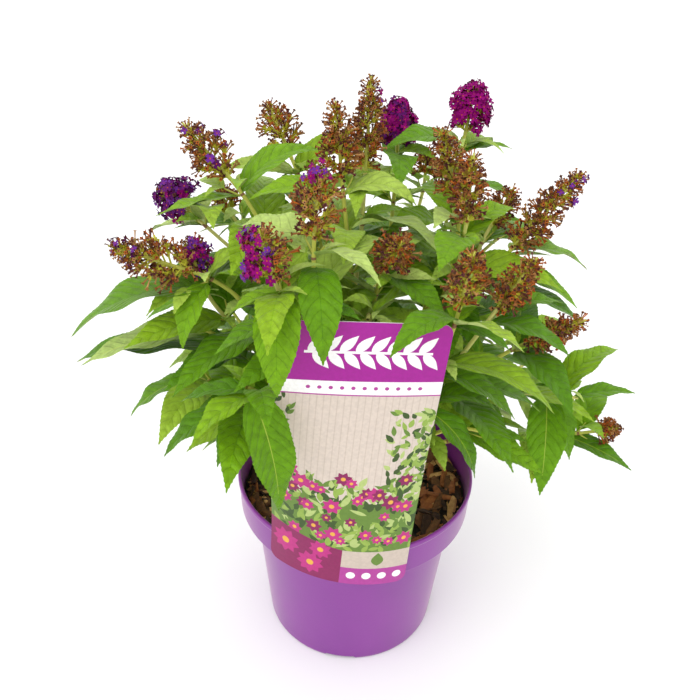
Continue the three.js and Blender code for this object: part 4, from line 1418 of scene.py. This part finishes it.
def card_place(x, y, depth):
    """The point of the card that is x across and y up when it is laid flat, depth behind its front."""
    hug = POT["rim"] + CARD["clearance"]
    share = y / CARD["height"]
    bend = (1 - smoothstep(share, CARD["flat_from"], 1)) / hug + 1e-6
    sine, cosine = np.sin(x * bend), np.cos(x * bend)
    across = sine / bend - sine * depth
    behind = (1 - cosine) / bend - CARD["thickness"] + cosine * depth
    turn = math.radians(CARD["twist"]) * smoothstep(share, 0, 0.9)
    c, s = np.cos(turn), np.sin(turn)
    return CARD_FRAME @ Vector((c * across - s * behind, s * across + c * behind - hug, y))


CARD_FRAME = (
    Matrix.Rotation(math.radians(CARD["turn"] + 90), 4, "Z")
    @ Matrix.Translation((0, -POT["collar"], CARD["bottom"]))
    @ Matrix.Rotation(math.radians(CARD["lean"]), 4, "X")
    @ Matrix.Rotation(math.radians(CARD["skew"]), 4, "Y")
    @ Matrix.Translation((0, POT["collar"], 0))
)


def disc(x, y, radius, sides):
    angle = ring_angles(sides)
    return np.stack([x + radius * np.cos(angle), y + radius * np.sin(angle)], axis=1)


def bar(x0, y0, x1, y1):
    return np.array([(x0, y0), (x1, y0), (x1, y1), (x0, y1)], float)


def petal(x, y, angle, length, width):
    """A pointed leaf or petal from (x, y)."""
    t = np.linspace(0, 1, 9)
    half = width / 2 * np.sin(np.pi * t**0.8)
    along_it = np.concatenate([t * length, (t * length)[-2:0:-1]])
    across_it = np.concatenate([half, -half[-2:0:-1]])
    c, s = math.cos(angle), math.sin(angle)
    return np.stack([x + c * along_it - s * across_it, y + s * along_it + c * across_it], axis=1)


def daisy(x, y, radius, petals, ink):
    turns = [2 * math.pi * k / petals + x for k in range(petals)]
    shapes = [(petal(x, y, turn, radius, radius * 0.62), ink) for turn in turns]
    return [*shapes, (disc(x, y, radius * 0.26, 12), "gold")]


# Inks of the card, in the order of its materials.
INKS = dict(
    back=(232, 226, 220), magenta=(157, 14, 141), white=(243, 241, 240), sand=(207, 193, 181),
    leaf=(96, 128, 46), deep=(54, 80, 26), rose=(182, 40, 122), wine=(132, 24, 84), gold=(222, 168, 68),
    violet=(170, 58, 146), pale_green=(172, 190, 114), fold=(196, 181, 168), lime=(140, 168, 70),
)
FOLIAGE_INKS = ("leaf", "deep", "pale_green", "lime")


def printed_leaves(random, count, place, length, width):
    """Small leaves printed every way up, each at place() on the card."""
    art = []
    for _ in range(count):
        tone = FOLIAGE_INKS[int(random() * len(FOLIAGE_INKS))]
        spot, turn = place(), lerp(0.2, 2.9, random())
        shape = petal(*spot, turn, lerp(*length, random()), lerp(*width, random()))
        art.append((shape, tone))
    return art


def fence():
    """Thin upright lines on a sand-coloured ground."""
    lines = [lerp(4 - HALF, HALF - 4, k / 23) for k in range(24)]
    return [
        (bar(-HALF, 0, HALF, TOP), "sand"),
        *[(bar(x - 0.35, 90, x + 0.35, STRIP), "fold") for x in lines],
    ]


def climbers(random):
    """Leaves up both sides of the fence."""
    size = (5, 9), (2.4, 4)
    right = printed_leaves(
        random, 150, lambda: (HALF - 26 * random() ** 1.5, lerp(88, 158, random())), *size
    )
    left = printed_leaves(
        random, 60, lambda: (14 * random() ** 1.5 - HALF, lerp(88, 168, random())), *size
    )
    return right + left


def bands():
    """The header, and a white strip with a row of dots."""
    return [
        (bar(-HALF, HEADER, HALF, TOP), "magenta"),
        (bar(-HALF, STRIP, HALF, HEADER), "white"),
        (bar(-HALF, STRIP - 1, HALF, STRIP), "violet"),
        *[(disc(lerp(-30, 40, k / 10), (HEADER + STRIP) / 2, 1.4, 10), "violet") for k in range(11)],
    ]


def sprig():
    """A white sprig of leaves on the header."""
    y = TOP * 0.905
    shapes = [bar(-34, y - 0.9, 44, y + 0.9)]
    for k in range(8):
        x = 9.6 * k - 32
        shapes += [petal(x, y, 0.85, 16, 6.4), petal(x + 3, y, -0.85, 16, 6.4)]
    return [(shape, "white") for shape in shapes]


def flower_bed(random):
    """A hedge of leaves with small daisies."""
    x = np.linspace(-HALF, HALF, 40)
    hedge = np.stack([x, 82 + 4 * np.sin(x * 0.5) + 3 * np.sin(x * 0.21 + 1)], axis=1)
    art = [(np.array([*hedge, (HALF, 30), (-HALF, 30)]), "leaf")]
    art += printed_leaves(
        random, 280, lambda: (lerp(-HALF, HALF, random()), lerp(32, 96, random() ** 0.9)), (7, 14), (3, 5)
    )
    for k in range(34):
        x, y = lerp(5 - HALF, HALF - 5, (k + 0.5) / 34), lerp(42, 104, random())
        art += daisy(x, y, lerp(4, 7.5, random()), 7, ("rose", "wine", "rose")[k % 3])
    return art


def patches():
    """Large daisies on a dark patch at the lower left, and a plain patch with dots beside it."""
    art = [(np.array([(-HALF, 0), (4, 0), (4, 34), (-HALF, 44)], float), "wine")]
    for x, y, radius in ((-40, 26, 12), (-19, 14, 11), (-12, 30, 9)):
        art += daisy(x, y, radius, 9, "rose")
    art += [(bar(4, 0, HALF, 34), "fold"), (bar(4, 0, HALF, 17), "violet")]
    art += [(disc(12 + 11.5 * k, 9.2, 3.4, 16), "white") for k in range(4)]
    return [*art, (petal(30, 20, 1.57, 13, 9), "leaf")]


def card_artwork():
    """A plain garden design: its shapes from back to front, each with its ink."""
    random = seeded(77)
    return [*fence(), *climbers(random), *bands(), *sprig(), *flower_bed(random), *patches()]


def stepped(polygon, step=4.0):
    """The polygon with corners added along its sides, so that it can bend with the card."""
    out = []
    for here, after in zip(polygon, np.roll(polygon, -1, axis=0)):
        steps = max(1, round(np.linalg.norm(after - here) / step))
        out += [lerp(here, after, k / steps) for k in range(steps)]
    return np.array(out)


def card_outline():
    """The card's edge, with rounded corners, anticlockwise."""
    r = CARD["corner"]
    corners = []
    for side, cy, first in ((1, r, -90), (1, TOP - r, 0), (-1, TOP - r, 90), (-1, r, 180)):
        for step in range(7):
            a = math.radians(first + 15 * step)
            corners.append((side * (HALF - r) + r * math.cos(a), cy + r * math.sin(a)))
    return stepped(np.array(corners))


def inside(points, polygon):
    """Which points lie in the polygon."""
    x, y = points[:, 0], points[:, 1]
    hit = np.zeros(len(points), bool)
    for (x0, y0), (x1, y1) in zip(polygon, np.roll(polygon, -1, axis=0)):
        if y0 != y1:
            hit ^= ((y0 > y) != (y1 > y)) & (x < (x1 - x0) * (y - y0) / (y1 - y0) + x0)
    return hit


def cut_sheet(edge, art):
    """The flat sheet as corners and triangles, cut along its edge and the printed shapes."""
    points, edges = [], []
    low, high = edge.min(0) - 1, edge.max(0) + 1
    for polygon in [edge, *[np.clip(stepped(shape), low, high) for shape, _ in art]]:
        first, count = len(points), len(polygon)
        points += [Vector(p) for p in polygon]
        edges += [(first + k, first + (k + 1) % count) for k in range(count)]
    points += [Vector((x, y)) for x in np.arange(4 - HALF, HALF, 5.0) for y in np.arange(4, TOP, 9.0)]
    flat, _, faces, *_ = geometry.delaunay_2d_cdt(points, edges, [], 0, 1e-3)
    flat = np.array([tuple(p) for p in flat])
    faces = np.array([face for face in faces if len(face) == 3])
    return flat, faces[inside(flat[faces].mean(axis=1), edge)]


def make_card():
    """One sheet, in which each printed shape is a patch of its own ink."""
    edge, art, names = card_outline(), card_artwork(), list(INKS)
    flat, faces = cut_sheet(edge, art)
    centres = flat[faces].mean(axis=1)
    paints = np.zeros(len(faces), int)
    for shape, ink in art:
        paints[inside(centres, shape)] = names.index(ink)
    depths = (0.0, CARD["thickness"] * CARD["sheet"])
    front, back = (np.array([card_place(x, y, depth) for x, y in flat]) for depth in depths)
    rim = np.array([card_place(x, y, depth) for depth in depths for x, y in edge])
    soup = Soup()
    soup.add(front, faces, paints)
    soup.add(back, faces[:, ::-1], names.index("back"))
    soup.add(rim, grid_faces(2, len(edge), closed=True)[:, [0, 3, 2, 1]], names.index("white"))
    return soup


def card_materials():
    inks = []
    gloss = dict(Specular_IOR_Level=0.3, Coat_Weight=0.1, Coat_Roughness=0.25)
    for ink, colour in INKS.items():
        paint = Paint(f"ink_{ink}", linear(*colour), 0.4, **gloss)
        paint.tone(paint.noise(420, 2), linear(*colour), 0.05)
        paint.bump(paint.noise(60, 1), 0.12)
        inks.append(paint.material)
    return inks


# ---- Assembly ----

MOST_TRIANGLES = 190000  # in one piece of florets


def put(obj, slot, *nodes):
    """The piece rides on the part's one body and stands in for these nodes."""
    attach(obj, "root")
    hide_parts(*nodes)


def put_foliage(soup, name, materials):
    put(soup.piece(name, materials), "foliage", *FOLIAGE)


def put_florets(blossom):
    """The florets as one or more pieces, each of whole batches."""
    part, total, count = Soup(), 0, 0
    for batch in zip(blossom.points, blossom.faces, blossom.paints, blossom.maps):
        size = len(batch[1])
        if total + size > MOST_TRIANGLES:
            put_foliage(part, f"florets_{count}", BLOSSOM_PAINT)
            part, total, count = Soup(), 0, count + 1
        part.add(*batch)
        total += size
    put_foliage(part, f"florets_{count}", BLOSSOM_PAINT)


def make_plant():
    growths, room = grow()
    high, low, young, twigs = leaf_soups(growths, room)
    blossom = Soup()
    stems(growths, twigs)
    for growth in growths:
        for order, (path, _, _, spike, _) in enumerate(growth.shoots):
            if spike:
                panicle(growth, order, path, spike, twigs, blossom)
    for soup, name in ((high, "leaves_high"), (low, "leaves_low"), (young, "leaves_young")):
        put_foliage(soup, name, LEAF_PAINT)
    put_foliage(twigs, "twigs", STEM_PAINT)
    put_florets(blossom)
    wood = [
        mottled("trunk_bark", (92, 72, 46), (150, 124, 84), 0.85, 300, 0.5),
        mottled("bough_bark", (128, 122, 62), (164, 156, 88), 0.7, 220, 0.2),
    ]
    put(trunk_and_boughs(growths).piece("trunk_and_boughs", wood), "stem_wood", *WOOD)


STAGE = dict(
    floor_size=12,  # metres
    floor_tone=0.93,
    sky=1.16,
    sun=0.9,
    sun_angle=50,
    sun_from=(-0.45, -0.6, 1.0),
)


def make_stage():
    """A plain white floor under an even white sky, with one large soft light from the upper left."""
    bpy.ops.mesh.primitive_plane_add(size=STAGE["floor_size"], location=(0, 0, -0.0002))
    floor = bpy.context.object
    floor.name = "floor"
    tone = STAGE["floor_tone"]
    paint = Paint("floor_white", (tone, tone, tone, 1), 0.9, Specular_IOR_Level=0.1)
    floor.data.materials.append(paint.material)
    world = bpy.data.worlds.new("studio")
    bpy.context.scene.world = world
    world.use_nodes = True
    sky = world.node_tree.nodes["Background"].inputs
    sky["Color"].default_value = (1, 1, 1, 1)
    sky["Strength"].default_value = STAGE["sky"]
    lamp = bpy.data.lights.new("softbox", "SUN")
    lamp.energy = STAGE["sun"]
    lamp.angle = math.radians(STAGE["sun_angle"])
    light = linked("softbox", lamp)
    light.rotation_euler = Vector(STAGE["sun_from"]).to_track_quat("Z", "Y").to_euler()


# The photo's camera, as fitted to the pot: its place in millimetres, its pitch and roll in degrees, the
# photo's focal length and size in pixels, and the sensor's width in millimetres.
CAMERA = dict(
    place=(-7.7, -501.1, 581.5), pitch=32.47, roll=1.96, focal_pixels=800, frame_pixels=700, sensor=36
)


def make_camera():
    data = bpy.data.cameras.new("camera")
    data.sensor_width = CAMERA["sensor"]
    data.lens = CAMERA["focal_pixels"] / CAMERA["frame_pixels"] * CAMERA["sensor"]
    camera = linked("camera", data)
    pitched = Matrix.Rotation(math.radians(90 - CAMERA["pitch"]), 4, "X")
    rolled = Matrix.Rotation(math.radians(CAMERA["roll"]), 4, "Z")
    camera.matrix_world = Matrix.Translation(Vector(CAMERA["place"]) * MM) @ pitched @ rolled
    bpy.context.scene.camera = camera


make_plant()
put(make_pot(), "pot_plastic", "pot")
put(make_mulch().piece("mulch", mulch_materials(), sharp=28), "bark_mulch", "bark")
put(make_card().piece("care_card", card_materials(), sharp=30), "printed_card", "card")
make_stage()
make_camera()
bpy.context.scene.view_settings.view_transform = "Standard"
